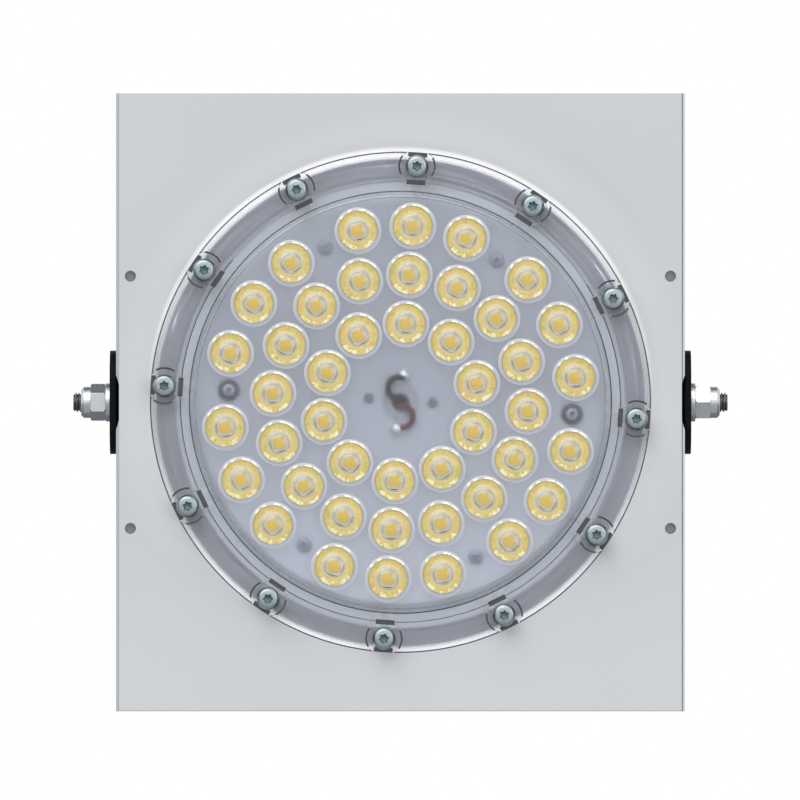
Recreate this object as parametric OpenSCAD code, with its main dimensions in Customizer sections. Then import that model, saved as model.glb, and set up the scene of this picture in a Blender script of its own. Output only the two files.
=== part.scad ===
/* [Body] */
// Width of the body across its side plates
body_w = 230; // [224:1:270]
// Height of the body
body_h = 250; // [236:1:320]
// Thickness of the flat face that carries the light module
face_t = 8; // [7.5:0.5:14]
// Reach of the cooling fins behind the face
fin_reach = 32; // [29:1:44]
// Thickness of one fin
fin_t = 2; // [1.5:0.1:3]
// Widest pitch of the fins
fin_pitch = 8; // [6:0.5:12]
// Width of the solid rail down each side
rail_w = 14; // [12:1:18]
// Reach of the rail behind the face
rail_reach = 26; // [25:1:28]
// Thickness of a side plate
side_plate_t = 1.2; // [1:0.1:2]
// Bevel on the top and bottom edges of the face
edge_break = 0.6; // [0.3:0.1:1.5]

/* [Accessory holes] */
// Distance between the left and right accessory holes
accessory_pitch_x = 218.4; // [214:0.1:220]
// Distance between the upper and lower accessory holes
accessory_pitch_z = 102; // [70:1:180]
// Diameter of an accessory hole
accessory_d = 4.5; // [3:0.1:5]
// Depth of an accessory hole
accessory_depth = 3; // [3:0.5:7]

/* [Lens cover] */
// Diameter of the clear cover
cover_d = 202.4; // [198:1:210]
// Width of the raised rim
rim_w = 12.4; // [12:0.1:13]
// Height of the rim above the face
rim_h = 9.6; // [9.2:0.1:12]
// Width of the low band inside the rim
band_w = 3.4; // [2.5:0.1:5]
// Height of the low band above the face
band_h = 6.6; // [5.5:0.1:7.5]
// Width of the step between the low band and the lens plate
step_w = 2.8; // [2:0.1:4]
// Thickness of the lens plate
lens_t = 2.6; // [2:0.1:3.5]
// Air space between the board and the lens plate
lens_air = 3.4; // [3.2:0.1:4]
// Clockwise turn of the whole module on the face, in degrees
module_turn = 4; // [0:0.1:15]
// Diameter of a lens dome
dome_d = 18.4; // [16:0.1:19]
// Height of a lens dome
dome_h = 5.8; // [4:0.1:7]
// Diameter of the hollow under a dome
hollow_d = 7.6; // [7:0.1:9]
// Height of that hollow at its middle
hollow_h = 4.9; // [4:0.1:5.5]
// Radius of its rounded roof
hollow_roof_r = 6.9; // [6:0.1:9]

/* [Cover screws] */
// Number of cover screws
cover_screws = 12; // [8:1:16]
// Distance from the cover's edge to the screw circle
screw_inset = 5.6; // [5.5:0.1:5.9]
// Diameter of a cover screw
screw_d = 5; // [4:0.5:5]
// Diameter of a cover screw's head
screw_head_d = 9.3; // [8:0.1:10]
// Height of a cover screw's head
screw_head_h = 3; // [2.4:0.1:3.2]
// Depth of a cover screw in the face
screw_bite = 6.4; // [5:0.1:6.8]
// Diameter of the pocket round a screw head
pocket_d = 14.2; // [12:0.1:15]
// Height of the pocket's floor above the face
pocket_floor_h = 6.2; // [5.5:0.1:6.4]
// Width of the slot through the rim at a pocket
pocket_slot_w = 7.8; // [6:0.1:9]

/* [Gasket and board] */
// Thickness of the cover gasket
gasket_t = 2.2; // [2:0.1:2.6]
// Rim width left free inside the gasket
gasket_inner_edge = 2.5; // [1.5:0.1:2.8]
// Rim width left free outside the gasket
gasket_outer_edge = 3; // [2.5:0.1:3.2]
// Thickness of the thermal pad
pad_t = 0.4; // [0.2:0.1:0.6]
// Thickness of the light board
board_t = 1.6; // [1:0.1:1.6]
// Side of a light emitter's package
package_w = 7; // [6:0.1:8]
// Side of the yellow phosphor square
phosphor_w = 5.1; // [4.6:0.1:6]
// Corner radius of the yellow phosphor
phosphor_r = 2.2; // [0.5:0.1:2.2]
// Number of emitters in the middle ring
middle_count = 16; // [12:1:17]
// Number of emitters in the inner ring
inner_count = 10; // [6:1:10]
// Angle between neighbours in the outer ring's groups of three
outer_gap_angle = 17.9; // [17:0.1:20]
// Distance between neighbouring rings of emitters
ring_pitch = 19.8; // [19.4:0.05:20.2]

/* [Leads] */
// Diameter of a board lead
lead_d = 2.4; // [1.6:0.1:2.6]
// Radius of the black lead's curve
black_bend_r = 4.5; // [4.2:0.1:5]
// Radius of the red lead's curve
red_bend_r = 4.4; // [4.2:0.1:5]
// Diameter of the grommet's flange
grommet_flange_d = 14.2; // [13.6:0.1:15]

/* [Driver case] */
// Width of the driver case
case_w = 88; // [80:1:96]
// Height of the driver case
case_h = 176; // [160:1:186]
// Depth of the driver case without its lid
case_d = 44; // [40:1:56]
// Thickness of the case walls
case_wall = 2.5; // [2:0.1:3.5]
// Thickness of the case lid
lid_t = 3; // [2.5:0.1:4]
// Thickness of the lid gasket
lid_gasket_t = 1.2; // [0.8:0.1:2]
// Radius of the case's corners
case_corner_r = 8; // [6:0.5:10]

/* [Cable gland] */
// Bore of the gland's seal, for the mains cable
cable_d = 7; // [5:0.5:8]
// Diameter of the gland's thread
gland_thread_d = 16; // [14:0.5:18]
// Space between the gland's lock nut and the case's corner post
gland_clear = 1.6; // [1:0.1:4]

/* [Yoke] */
// Thickness of the yoke's steel
yoke_t = 2.5; // [2:0.1:4]
// Width of the yoke's strip
yoke_w = 42; // [36:1:50]
// Distance from the tilt axis to the mounting face
arm_reach = 137; // [135:1:180]
// Distance from the tilt axis to the front end of an arm
arm_nose = 15; // [13:0.5:17]
// Radius of the arm's front corners
nose_r = 12; // [6:0.5:13]
// Outer radius of the yoke's bends
bend_r = 6; // [5:0.5:10]
// Distance of the tilt axis behind the face
pivot_setback = 18; // [17.5:0.1:19]
// Diameter of a mounting hole
mount_hole_d = 9; // [6:0.5:12]
// Distance between neighbouring mounting holes
mount_pitch = 60; // [30:1:80]

/* [Pivot hardware] */
// Diameter of the pivot stud
stud_d = 8; // [6:0.1:9]
// Width of the lock nut across its flats
nut_af = 13; // [12:0.1:15]
// Height of the nut's hexagon
nut_h = 6.1; // [5:0.1:8]
// Height of the nut's collar
collar_h = 3.95; // [3:0.05:5]
// Length of stud that shows past the nut
stud_tip = 3.05; // [1.5:0.05:6]
// Diameter of the pivot washer
washer_d = 15.6; // [15:0.1:20]
// Thickness of the pivot washer
washer_t = 1.9; // [1:0.1:2.5]
// Diameter of the friction disc against the arm
disc_d = 21; // [20:0.1:24]
// Diameter of the friction disc against the body
disc_small_d = 12.4; // [12:0.1:18]

/* [Hidden] */
$fn = 64;

// Shared clearances and the overrun of every cut
over = 1;
fit_gap = 0.1;
pivot_gap = 0.05;
side_gap = 0.2;
slack = 0.5;

// Places along the depth, from the mounting face at zero
pivot_y = -arm_reach;
face_y = pivot_y - pivot_setback;
back_y = face_y + face_t;
core_w = body_w - 2 * side_plate_t;
side_setback = 0.4;
side_depth = face_t + fin_reach - side_setback;

// Fins
channel_gap = 3;
channel_w = case_w + 2 * channel_gap;
rail_in_x = core_w / 2 - rail_w;
bank_w = rail_in_x - channel_w / 2;
fin_count = floor(bank_w / fin_pitch);

// Side plate screws
side_screw_z_shares = [-0.42, -0.2, 0.2, 0.42];
side_screw_d = 3;
side_screw_head_d = 6;
side_screw_len = 7;
side_screw_y = back_y + rail_reach - side_screw_d;
side_screw_sink = side_plate_t - fit_gap / 2;

// Cover radii from its edge inwards
cover_r = cover_d / 2;
rim_in_r = cover_r - rim_w;
band_in_r = rim_in_r - band_w;
plate_r = band_in_r - step_w;
cover_edge_r = 0.8;
lip_clear = 0.2;
lip_w = 2;
screw_circle_r = cover_r - screw_inset;
gasket_in_r = rim_in_r + gasket_inner_edge;
gasket_out_r = cover_r - gasket_outer_edge;

// Heights of the module's layers above the face
board_z = pad_t;
board_top = board_z + board_t;
package_t = 0.7;
phosphor_t = 0.25;
package_top = board_top + package_t;
lens_under = board_top + lens_air;
lens_top = lens_under + lens_t;
dome_sphere_r = (dome_d * dome_d / 4 + dome_h * dome_h) / (2 * dome_h);
board_r = plate_r - 2 * slack;
well_r = plate_r + slack;

// Rings of emitters
dome_edge = 2;
outer_r = plate_r - dome_d / 2 - dome_edge;
middle_r = outer_r - ring_pitch;
inner_r = middle_r - ring_pitch;
outer_groups = 6;
emitters = concat(
    [for (g = [0:outer_groups - 1], s = [-1:1])
        [outer_r, 90 - g * 360 / outer_groups + s * outer_gap_angle]],
    [for (k = [0:middle_count - 1]) [middle_r, 90 - k * 360 / middle_count]],
    [for (k = [0:inner_count - 1]) [inner_r, 90 - k * 360 / inner_count]]
);

// Board fasteners
board_screw_count = 6;
board_screw_d = 3;
board_screw_head_d = 5.6;
board_screw_head_h = 1.8;
board_screw_bite = 5;
board_washer_d = 8.9;
board_washer_t = 0.5;
board_screw_inset = 1.9;
board_screw_r = outer_r - board_screw_inset;
board_pin_d = 3.6;
board_pin_rise = 0.8;
board_pin_bite = 4;
board_pin_x = 12.9;
board_pin_y = 0.8;

// Leads, in the module's own axes
grommet_flange_t = 1.6;
grommet_wall = 1.2;
grommet_sleeve_r = grommet_flange_d / 2 - grommet_wall;
grommet_bore_r = grommet_sleeve_r - 2 * grommet_wall;
lead_z = board_top + lead_d / 2 + fit_gap;
lead_drop_r = lead_d + fit_gap;
lead_shift = 1;
lead_half_gap = lead_d / 2 + fit_gap;
black_start_angle = 62;
red_start_angle = 88;
lead_sides = 12;
lead_curve_steps = 24;
lead_drop_steps = 8;
solder_d = 5.8;
solder_angle = 72;
solder_shift = 1.1;
solder_h = 2.4;

// Driver case
lug_t = 4;
lug_w = 62;
lug_reach = 15;
lug_r = 5;
case_screw_d = 4;
case_screw_head_d = 7.6;
case_screw_head_h = 2.6;
case_screw_bite = 5.5;
case_screw_x = 22;
case_screw_z = case_h / 2 + lug_reach / 2;
boss_r = 4;
boss_sink = 0.8;
boss_x = case_w / 2 - case_wall - boss_r + boss_sink;
boss_z = case_h / 2 - case_wall - boss_r + boss_sink;
lid_screw_d = 3.5;
lid_screw_head_d = 7;
lid_screw_head_h = 2.2;
lid_screw_bite = 9;
lid_y = back_y + case_d + lid_gasket_t;
lid_rib_h = 4;
lid_rib_t = 2.4;
lid_rib_share = 0.62;
lid_rib_round_share = 0.49;
lid_ribs = 7;

// Driver parts
post_h = 4;
post_r = 3.4;
driver_board_t = 1.6;
board_gap = 0.5;
driver_board_w = 2 * (boss_x - boss_r - board_gap);
driver_board_h = case_h - 2 * case_wall - 6 * boss_r;
driver_board_y = back_y + case_wall + post_h;
driver_face_y = driver_board_y + driver_board_t;
post_x = driver_board_w / 2 - post_r;
post_z = driver_board_h / 2 - post_r;
driver_screw_d = 3;
driver_screw_head_d = 5.6;
driver_screw_head_h = 2;
driver_screw_bite = 3.4;
core_size = [30, 22, 26];
winding_size = [22, 24, 34];
transformer_z = 22;
capacitor_d = 13;
capacitor_h = 22;
capacitor_pitch = 18;
capacitor_z = -26;
choke_d = 20;
choke_hole_d = 8;
choke_h = 9;
choke_x = -16;
choke_edge = 17.5;
choke_z = driver_board_h / 2 - choke_edge;
terminal_size = [30, 14, 12];
terminal_edge = 18.5;
terminal_z = terminal_edge - driver_board_h / 2;
terminal_ways = 3;
terminal_hole_d = 5;
terminal_hole_depth = 8;

// Cable gland and vent
gland_y = back_y + case_d / 2;
gland_shoulder = 3;
gland_hex_af = gland_thread_d + 2 * gland_shoulder;
gland_offset = boss_x - boss_r - gland_clear - gland_hex_af / cos(30) / 2;
gland_hex_h = 5;
gland_stub = 10;
gland_wall = 1.6;
gland_nut_h = 4.5;
gland_cap_h = 14;
gland_cap_wall = 2;
gland_seat = 2;
cable_clear = 1;
gland_clear_d = cable_d + 2 * cable_clear;
gland_seal_r = gland_thread_d / 2 - gland_wall;
gland_seal_h = gland_stub - gland_seat;
vent_d = 12;
vent_head_d = 17;
vent_head_h = 6;
vent_stub = 4;
vent_slots = 6;
vent_slot_w = 1.6;
vent_slot_depth = 2;

// Pivot hardware along the axis, outwards from the body
arm_x = body_w / 2 + side_gap;
washer_x = arm_x + yoke_t;
nut_x = washer_x + washer_t;
collar_x = nut_x + nut_h;
tip_x = collar_x + collar_h + stud_tip;
stud_bite = 10;
stud_chamfer = 0.9;
notch_r = disc_d / 2 + 1.7 * slack;
disc_rim_t = 0.3;
disc_t = arm_x - core_w / 2;
collar_step = 0.3;
collar_d = nut_af - collar_step;
collar_bevel = 1.2;
insert_t = 2.2;
insert_wall = 1.4;
nut_crown = 0.93;

// Places a piece on the front face, with its own +Z out towards the viewer
module on_face() {
    translate([0, face_y, 0]) rotate([90, 0, 0]) children();
}

// The same, turned with the light module
module on_module() {
    on_face() rotate([0, 0, -module_turn]) children();
}

// Places a piece at a radius and an angle, its own +X pointing outwards
module polar(r, angle) {
    rotate([0, 0, angle]) translate([r, 0, 0]) children();
}

// Repeats a piece on the left
module both_sides() {
    children();
    mirror([1, 0, 0]) children();
}

// Extrudes a plan drawn in X and Z towards +Y
module extrude_back(y, h) {
    translate([0, y, 0]) mirror([0, 0, 1]) rotate([-90, 0, 0]) linear_extrude(height = h) children();
}

// A cylinder from y towards +Y
module back_cylinder(x, y, z, r, h) {
    translate([x, y, z]) rotate([-90, 0, 0]) cylinder(r = r, h = h);
}

module round_rect(w, h, r) {
    square([w - 2 * r, h], center = true);
    square([w, h - 2 * r], center = true);
    for (x = [-1, 1], y = [-1, 1]) {
        translate([x * (w / 2 - r), y * (h / 2 - r)]) circle(r = r);
    }
}

// A ring with a plain bore
module ring(outer_r, inner_r, h) {
    difference() {
        cylinder(r = outer_r, h = h);
        translate([0, 0, -over]) cylinder(r = inner_r, h = h + 2 * over);
    }
}

// A hexagon measured across its flats
module hexagon(af, h) {
    cylinder(d = af / cos(30), h = h, $fn = 6);
}

// A six-lobed key recess, cut downwards from the origin
module lobe_recess(d, depth) {
    lobe_shares = [0.36, 0.13];
    translate([0, 0, -depth]) {
        cylinder(r = d * lobe_shares[0], h = depth + over);
        for (k = [0:5]) {
            rotate([0, 0, k * 60]) translate([d / 2 - d * lobe_shares[1], 0, 0]) {
                cylinder(r = d * lobe_shares[1], h = depth + over, $fn = 24);
            }
        }
    }
}

// A domed screw head on the origin, with its key recess
module pan_head(d, h) {
    crown_share = 0.42;
    recess_shares = [0.5, 0.62];
    crown_h = h * crown_share;
    crown_r = (d * d / 4 + crown_h * crown_h) / (2 * crown_h);
    difference() {
        intersection() {
            cylinder(d = d, h = h);
            translate([0, 0, h - crown_r]) sphere(r = crown_r);
        }
        translate([0, 0, h]) lobe_recess(d * recess_shares[0], h * recess_shares[1]);
    }
}

// A pan-head screw with its head on the origin and its shank below
module pan_screw(head_d, head_h, d, len) {
    pan_head(head_d, head_h);
    translate([0, 0, -len]) cylinder(d = d, h = len + head_h / 4);
}

module heat_sink_plan() {
    translate([-core_w / 2, face_y]) square([core_w, face_t]);
    for (side = [0, 1]) mirror([side, 0]) {
        translate([rail_in_x, back_y - over]) square([rail_w, rail_reach + over]);
        translate([core_w / 2 - fin_t, back_y - over]) square([fin_t, fin_reach + over]);
        for (k = [0:fin_count - 1]) {
            translate([channel_w / 2 + k * bank_w / fin_count, back_y - over]) {
                square([fin_t, fin_reach + over]);
            }
        }
    }
}

module heat_sink() {
    color([0.82, 0.83, 0.84]) difference() {
        linear_extrude(height = body_h, center = true) heat_sink_plan();
        for (end = [-1, 1]) {
            translate([0, face_y, end * body_h / 2]) rotate([45, 0, 0]) {
                cube([body_w, edge_break / cos(45), edge_break / cos(45)], center = true);
            }
        }
        on_module() {
            for (k = [0:cover_screws - 1]) polar(screw_circle_r, 90 - k * 360 / cover_screws) {
                translate([0, 0, -screw_bite - slack]) {
                    cylinder(d = screw_d + 2 * fit_gap, h = face_t + over);
                }
            }
            for (k = [0:board_screw_count - 1]) polar(board_screw_r, k * 360 / board_screw_count) {
                translate([0, 0, -board_screw_bite - slack]) {
                    cylinder(d = board_screw_d + 2 * fit_gap, h = face_t + over);
                }
            }
            for (x = [-1, 1]) translate([x * board_pin_x, board_pin_y, -board_pin_bite]) {
                cylinder(d = board_pin_d + 2 * fit_gap, h = face_t);
            }
            translate([0, 0, -face_t - over]) {
                cylinder(r = grommet_sleeve_r + fit_gap, h = face_t + 2 * over);
            }
        }
        on_face() for (x = [-1, 1], y = [-1, 1]) {
            translate([x * accessory_pitch_x / 2, y * accessory_pitch_z / 2, -accessory_depth]) {
                cylinder(d = accessory_d, h = accessory_depth + over);
            }
        }
        both_sides() translate([core_w / 2 - stud_bite - slack, pivot_y, 0]) rotate([0, 90, 0]) {
            cylinder(d = stud_d + 2 * pivot_gap, h = stud_bite + slack + over);
        }
        both_sides() for (share = side_screw_z_shares) {
            translate([core_w / 2 - side_screw_len, side_screw_y, share * body_h]) rotate([0, 90, 0]) {
                cylinder(d = side_screw_d + 2 * fit_gap, h = side_screw_len + over);
            }
        }
        for (x = [-1, 1], z = [-1, 1]) {
            back_cylinder(x * case_screw_x, back_y - case_screw_bite - slack, z * case_screw_z,
                case_screw_d / 2 + fit_gap, case_screw_bite + slack + over);
        }
    }
}

// The side plate's outline in Y and Z, with the round part of its notch
module side_outline() {
    difference() {
        translate([face_y + side_setback, -body_h / 2]) square([side_depth, body_h]);
        translate([pivot_y, 0]) circle(r = notch_r);
    }
}

// The notch's opening to the front, narrower towards the body like the disc
module notch_opening() {
    bulge_share = 0.62;
    inner_h = disc_small_d / 2 + slack;
    outer_h = disc_d / 2 + slack;
    middle_h = inner_h + (outer_h - inner_h) * bulge_share;
    middle_x = side_plate_t / 2;
    translate([core_w / 2, pivot_y, 0]) rotate([90, 0, 0]) {
        linear_extrude(height = pivot_setback + over) {
            polygon([
                [-over, -inner_h], [0, -inner_h], [middle_x, -middle_h], [side_plate_t, -outer_h],
                [side_plate_t + over, -outer_h], [side_plate_t + over, outer_h], [side_plate_t, outer_h],
                [middle_x, middle_h], [0, inner_h], [-over, inner_h]
            ]);
        }
    }
}

module side_plates() {
    color([0.8, 0.81, 0.82]) both_sides() difference() {
        translate([core_w / 2, 0, 0]) rotate([90, 0, 90]) {
            linear_extrude(height = side_plate_t) side_outline();
        }
        notch_opening();
        for (share = side_screw_z_shares) {
            translate([core_w / 2 - fit_gap, side_screw_y, share * body_h]) rotate([0, 90, 0]) {
                cylinder(d1 = side_screw_d + 2 * fit_gap, d2 = side_screw_head_d + 2 * fit_gap,
                    h = side_plate_t + 2 * fit_gap);
            }
        }
    }
}

module side_plate_screws() {
    color([0.75, 0.76, 0.78]) both_sides() for (share = side_screw_z_shares) {
        translate([core_w / 2, side_screw_y, share * body_h]) rotate([0, 90, 0]) {
            difference() {
                cylinder(d1 = side_screw_d, d2 = side_screw_head_d - 4 * fit_gap, h = side_screw_sink);
                translate([0, 0, side_screw_sink]) lobe_recess(side_screw_d, side_screw_sink / 2);
            }
            translate([0, 0, slack - side_screw_len]) cylinder(d = side_screw_d, h = side_screw_len - slack);
        }
    }
}

// Every hole that the pad and the board share
module board_holes(h) {
    translate([0, 0, -over]) cylinder(d = grommet_flange_d + 2 * fit_gap, h = h + 2 * over);
    for (k = [0:board_screw_count - 1]) polar(board_screw_r, k * 360 / board_screw_count) {
        translate([0, 0, -over]) cylinder(d = board_screw_d + 4 * fit_gap, h = h + 2 * over);
    }
    for (x = [-1, 1]) translate([x * board_pin_x, board_pin_y, -over]) {
        cylinder(d = board_pin_d + 2 * fit_gap, h = h + 2 * over);
    }
}

module thermal_pad() {
    color([0.45, 0.46, 0.48]) on_module() difference() {
        cylinder(r = board_r - slack, h = pad_t);
        board_holes(pad_t);
    }
}

module light_board() {
    color([0.93, 0.94, 0.95]) on_module() translate([0, 0, board_z]) difference() {
        cylinder(r = board_r, h = board_t);
        board_holes(board_t);
    }
}

module emitter_packages() {
    color([0.96, 0.96, 0.94]) on_module() for (e = emitters) polar(e[0], e[1]) {
        translate([-package_w / 2, -package_w / 2, board_top]) cube([package_w, package_w, package_t]);
    }
}

module emitter_phosphors() {
    color([0.95, 0.82, 0.4]) on_module() for (e = emitters) polar(e[0], e[1]) {
        translate([0, 0, package_top]) linear_extrude(height = phosphor_t) {
            round_rect(phosphor_w, phosphor_w, phosphor_r);
        }
    }
}

// Two of the six board screws stand on a dark washer, at the left and the right
function washer_under(k) = k % 3 == 0 ? board_washer_t : 0;

module board_screws() {
    color([0.7, 0.72, 0.75]) on_module() for (k = [0:board_screw_count - 1]) {
        polar(board_screw_r, k * 360 / board_screw_count) translate([0, 0, board_top + washer_under(k)]) {
            pan_screw(board_screw_head_d, board_screw_head_h, board_screw_d,
                board_top + washer_under(k) + board_screw_bite);
        }
    }
}

module board_washers() {
    color([0.2, 0.2, 0.22]) on_module() for (angle = [0, 180]) polar(board_screw_r, angle) {
        translate([0, 0, board_top]) ring(board_washer_d / 2, board_screw_d / 2 + fit_gap, board_washer_t);
    }
}

module board_pins() {
    color([0.4, 0.41, 0.43]) on_module() for (x = [-1, 1]) {
        translate([x * board_pin_x, board_pin_y, -board_pin_bite]) {
            cylinder(d = board_pin_d, h = board_pin_bite + board_top + board_pin_rise);
        }
    }
}

// The middle of a lead's curve on the board, for the lead that lies above the middle
function lead_centre(bend_r) = [-lead_shift, lead_half_gap + bend_r];

// A lead's rings: each is a point of the path and the two directions across it
function curve_rings(bend_r, start_angle) = [
    for (k = [0:lead_curve_steps])
        let (
            angle = start_angle + (270 - start_angle) * k / lead_curve_steps,
            out = [cos(angle), sin(angle), 0]
        )
        [concat(lead_centre(bend_r), lead_z) + bend_r * out, [0, 0, 1], out]
];
function drop_rings(bend_r) = [
    for (k = [1:lead_drop_steps])
        let (angle = 90 * k / lead_drop_steps, out = [sin(angle), 0, cos(angle)])
        [[-lead_shift, lead_half_gap, lead_z - lead_drop_r] + lead_drop_r * out, out, [0, -1, 0]]
];
function end_ring() = [
    [lead_drop_r - lead_shift, lead_half_gap, face_y - driver_board_y], [1, 0, 0], [0, -1, 0]
];

// A lead: its curve from the solder joint, the turn down into the grommet, and the run to the driver
module lead(bend_r, start_angle) {
    rings = concat(curve_rings(bend_r, start_angle), drop_rings(bend_r), [end_ring()]);
    n = lead_sides;
    last = len(rings) - 1;
    polyhedron(
        points = [
            for (ring = rings, k = [0:n - 1])
                ring[0] + lead_d / 2 * (cos(k * 360 / n) * ring[1] + sin(k * 360 / n) * ring[2])
        ],
        faces = concat(
            [[for (k = [0:n - 1]) k]],
            [for (i = [0:last - 1], k = [0:n - 1]) [i * n + k, i * n + n + k, i * n + (k + 1) % n]],
            [for (i = [0:last - 1], k = [0:n - 1])
                [i * n + n + k, i * n + n + (k + 1) % n, i * n + (k + 1) % n]],
            [[for (k = [n - 1:-1:0]) last * n + k]]
        )
    );
}

// A solder mound that holds the outer end of a lead
module solder_joint(bend_r) {
    centre = lead_centre(bend_r);
    reach = bend_r + solder_shift;
    mound_r = (solder_d * solder_d / 4 + solder_h * solder_h) / (2 * solder_h);
    translate([centre[0] + reach * cos(solder_angle), centre[1] + reach * sin(solder_angle), board_top]) {
        intersection() {
            cylinder(d = 2 * solder_d, h = solder_h);
            translate([0, 0, solder_h - mound_r]) sphere(r = mound_r);
        }
    }
}

module solder_joints() {
    color([0.9, 0.91, 0.92]) on_module() {
        solder_joint(black_bend_r);
        rotate([0, 0, 180]) solder_joint(red_bend_r);
    }
}

module black_lead() {
    color([0.06, 0.06, 0.07]) on_module() lead(black_bend_r, black_start_angle);
}

module red_lead() {
    color([0.7, 0.08, 0.07]) on_module() rotate([0, 0, 180]) lead(red_bend_r, red_start_angle);
}

module lead_grommet() {
    color([0.3, 0.3, 0.32]) on_module() difference() {
        union() {
            cylinder(d = grommet_flange_d, h = grommet_flange_t);
            translate([0, 0, -face_t - case_wall]) {
                cylinder(r = grommet_sleeve_r, h = face_t + case_wall + over);
            }
        }
        translate([0, 0, -face_t - case_wall - over]) {
            cylinder(r = grommet_bore_r, h = face_t + case_wall + grommet_flange_t + 2 * over);
        }
    }
}

module cover_gasket() {
    color([0.6, 0.6, 0.63]) on_module() difference() {
        ring(gasket_out_r, gasket_in_r, gasket_t);
        for (k = [0:cover_screws - 1]) polar(screw_circle_r, 90 - k * 360 / cover_screws) {
            translate([0, 0, -over]) cylinder(d = screw_d + 8 * fit_gap, h = gasket_t + 2 * over);
        }
    }
}

// Half section of the cover: well, sealing face, lip, rim, low band, step and lens plate
module cover_section() {
    polygon([
        [0, lens_under],
        [well_r, lens_under],
        [well_r, gasket_t],
        [cover_r - lip_w, gasket_t],
        [cover_r - lip_w, lip_clear],
        [cover_r, lip_clear],
        [cover_r, rim_h - cover_edge_r],
        [cover_r - cover_edge_r, rim_h],
        [rim_in_r + cover_edge_r / 2, rim_h],
        [rim_in_r, rim_h - cover_edge_r],
        [rim_in_r, band_h],
        [band_in_r, band_h],
        [plate_r, lens_top],
        [0, lens_top]
    ]);
}

module lens_cover() {
    color([0.8, 0.85, 0.9, 0.5]) on_module() difference() {
        union() {
            rotate_extrude($fn = 128) cover_section();
            for (e = emitters) polar(e[0], e[1]) intersection() {
                translate([0, 0, lens_top - lens_t / 2]) cylinder(d = dome_d, h = dome_h + lens_t);
                translate([0, 0, lens_top + dome_h - dome_sphere_r]) sphere(r = dome_sphere_r);
            }
        }
        for (e = emitters) polar(e[0], e[1]) {
            intersection() {
                translate([0, 0, lens_under - over]) cylinder(d = hollow_d, h = over + hollow_h);
                translate([0, 0, lens_under + hollow_h - hollow_roof_r]) sphere(r = hollow_roof_r);
            }
        }
        for (k = [0:cover_screws - 1]) polar(screw_circle_r, 90 - k * 360 / cover_screws) {
            cylinder(d = screw_d + 6 * fit_gap, h = rim_h);
            translate([0, 0, pocket_floor_h]) {
                cylinder(d = pocket_d, h = rim_h);
                translate([-pocket_d / 2, -pocket_slot_w / 2, 0]) cube([2 * pocket_d, pocket_slot_w, rim_h]);
            }
        }
    }
}

module cover_screw_set() {
    color([0.68, 0.73, 0.75]) on_module() for (k = [0:cover_screws - 1]) {
        polar(screw_circle_r, 90 - k * 360 / cover_screws) translate([0, 0, pocket_floor_h]) {
            pan_screw(screw_head_d, screw_head_h, screw_d, pocket_floor_h + screw_bite);
        }
    }
}

module driver_case() {
    color([0.8, 0.81, 0.82]) difference() {
        union() {
            difference() {
                union() {
                    extrude_back(back_y, case_d) round_rect(case_w, case_h, case_corner_r);
                    for (z = [-1, 1]) {
                        extrude_back(back_y, lug_t) translate([0, z * (case_h - lug_r) / 2]) {
                            round_rect(lug_w, 2 * lug_reach + lug_r, lug_r);
                        }
                    }
                }
                extrude_back(back_y + case_wall, case_d) {
                    round_rect(case_w - 2 * case_wall, case_h - 2 * case_wall, case_corner_r - case_wall);
                }
            }
            for (x = [-1, 1], z = [-1:1]) {
                back_cylinder(x * boss_x, back_y + case_wall / 2, z * boss_z,
                    boss_r, case_d - case_wall / 2);
            }
            for (x = [-1, 1], z = [-1, 1]) {
                back_cylinder(x * post_x, back_y + case_wall / 2, z * post_z,
                    post_r, post_h + case_wall / 2);
            }
        }
        for (x = [-1, 1], z = [-1:1]) {
            back_cylinder(x * boss_x, back_y + case_d - lid_screw_bite, z * boss_z,
                lid_screw_d / 2 + fit_gap, lid_screw_bite + over);
        }
        for (x = [-1, 1], z = [-1, 1]) {
            back_cylinder(x * post_x, driver_board_y - driver_screw_bite - slack, z * post_z,
                driver_screw_d / 2 + fit_gap, driver_screw_bite + slack + over);
            back_cylinder(x * case_screw_x, back_y - over, z * case_screw_z,
                case_screw_d / 2 + 2 * fit_gap, lug_t + 2 * over);
        }
        back_cylinder(0, back_y - over, 0, grommet_sleeve_r + fit_gap, case_wall + 2 * over);
        translate([-gland_offset, gland_y, -case_h / 2 - over]) {
            cylinder(d = gland_thread_d + 2 * fit_gap, h = case_wall + 2 * over);
        }
        translate([gland_offset, gland_y, -case_h / 2 - over]) {
            cylinder(d = vent_d + 2 * fit_gap, h = case_wall + 2 * over);
        }
    }
}

module case_screws() {
    color([0.68, 0.73, 0.75]) for (x = [-1, 1], z = [-1, 1]) {
        translate([x * case_screw_x, back_y + lug_t, z * case_screw_z]) rotate([-90, 0, 0]) {
            pan_screw(case_screw_head_d, case_screw_head_h, case_screw_d, lug_t + case_screw_bite);
        }
    }
}

module driver_board() {
    color([0.1, 0.42, 0.25]) difference() {
        extrude_back(driver_board_y, driver_board_t) square([driver_board_w, driver_board_h], center = true);
        for (x = [-1, 1], z = [-1, 1]) {
            back_cylinder(x * post_x, driver_board_y - over, z * post_z,
                driver_screw_d / 2 + fit_gap, driver_board_t + 2 * over);
        }
    }
}

module driver_board_screws() {
    color([0.75, 0.76, 0.78]) for (x = [-1, 1], z = [-1, 1]) {
        translate([x * post_x, driver_face_y, z * post_z]) rotate([-90, 0, 0]) {
            pan_screw(driver_screw_head_d, driver_screw_head_h, driver_screw_d,
                driver_board_t + driver_screw_bite);
        }
    }
}

// A block standing on the driver board
module on_driver_board(size, x, z) {
    translate([x - size[0] / 2, driver_face_y, z - size[2] / 2]) cube(size);
}

module transformer() {
    color([0.75, 0.6, 0.2]) {
        on_driver_board(core_size, 0, transformer_z);
        on_driver_board(winding_size, 0, transformer_z);
    }
}

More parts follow.
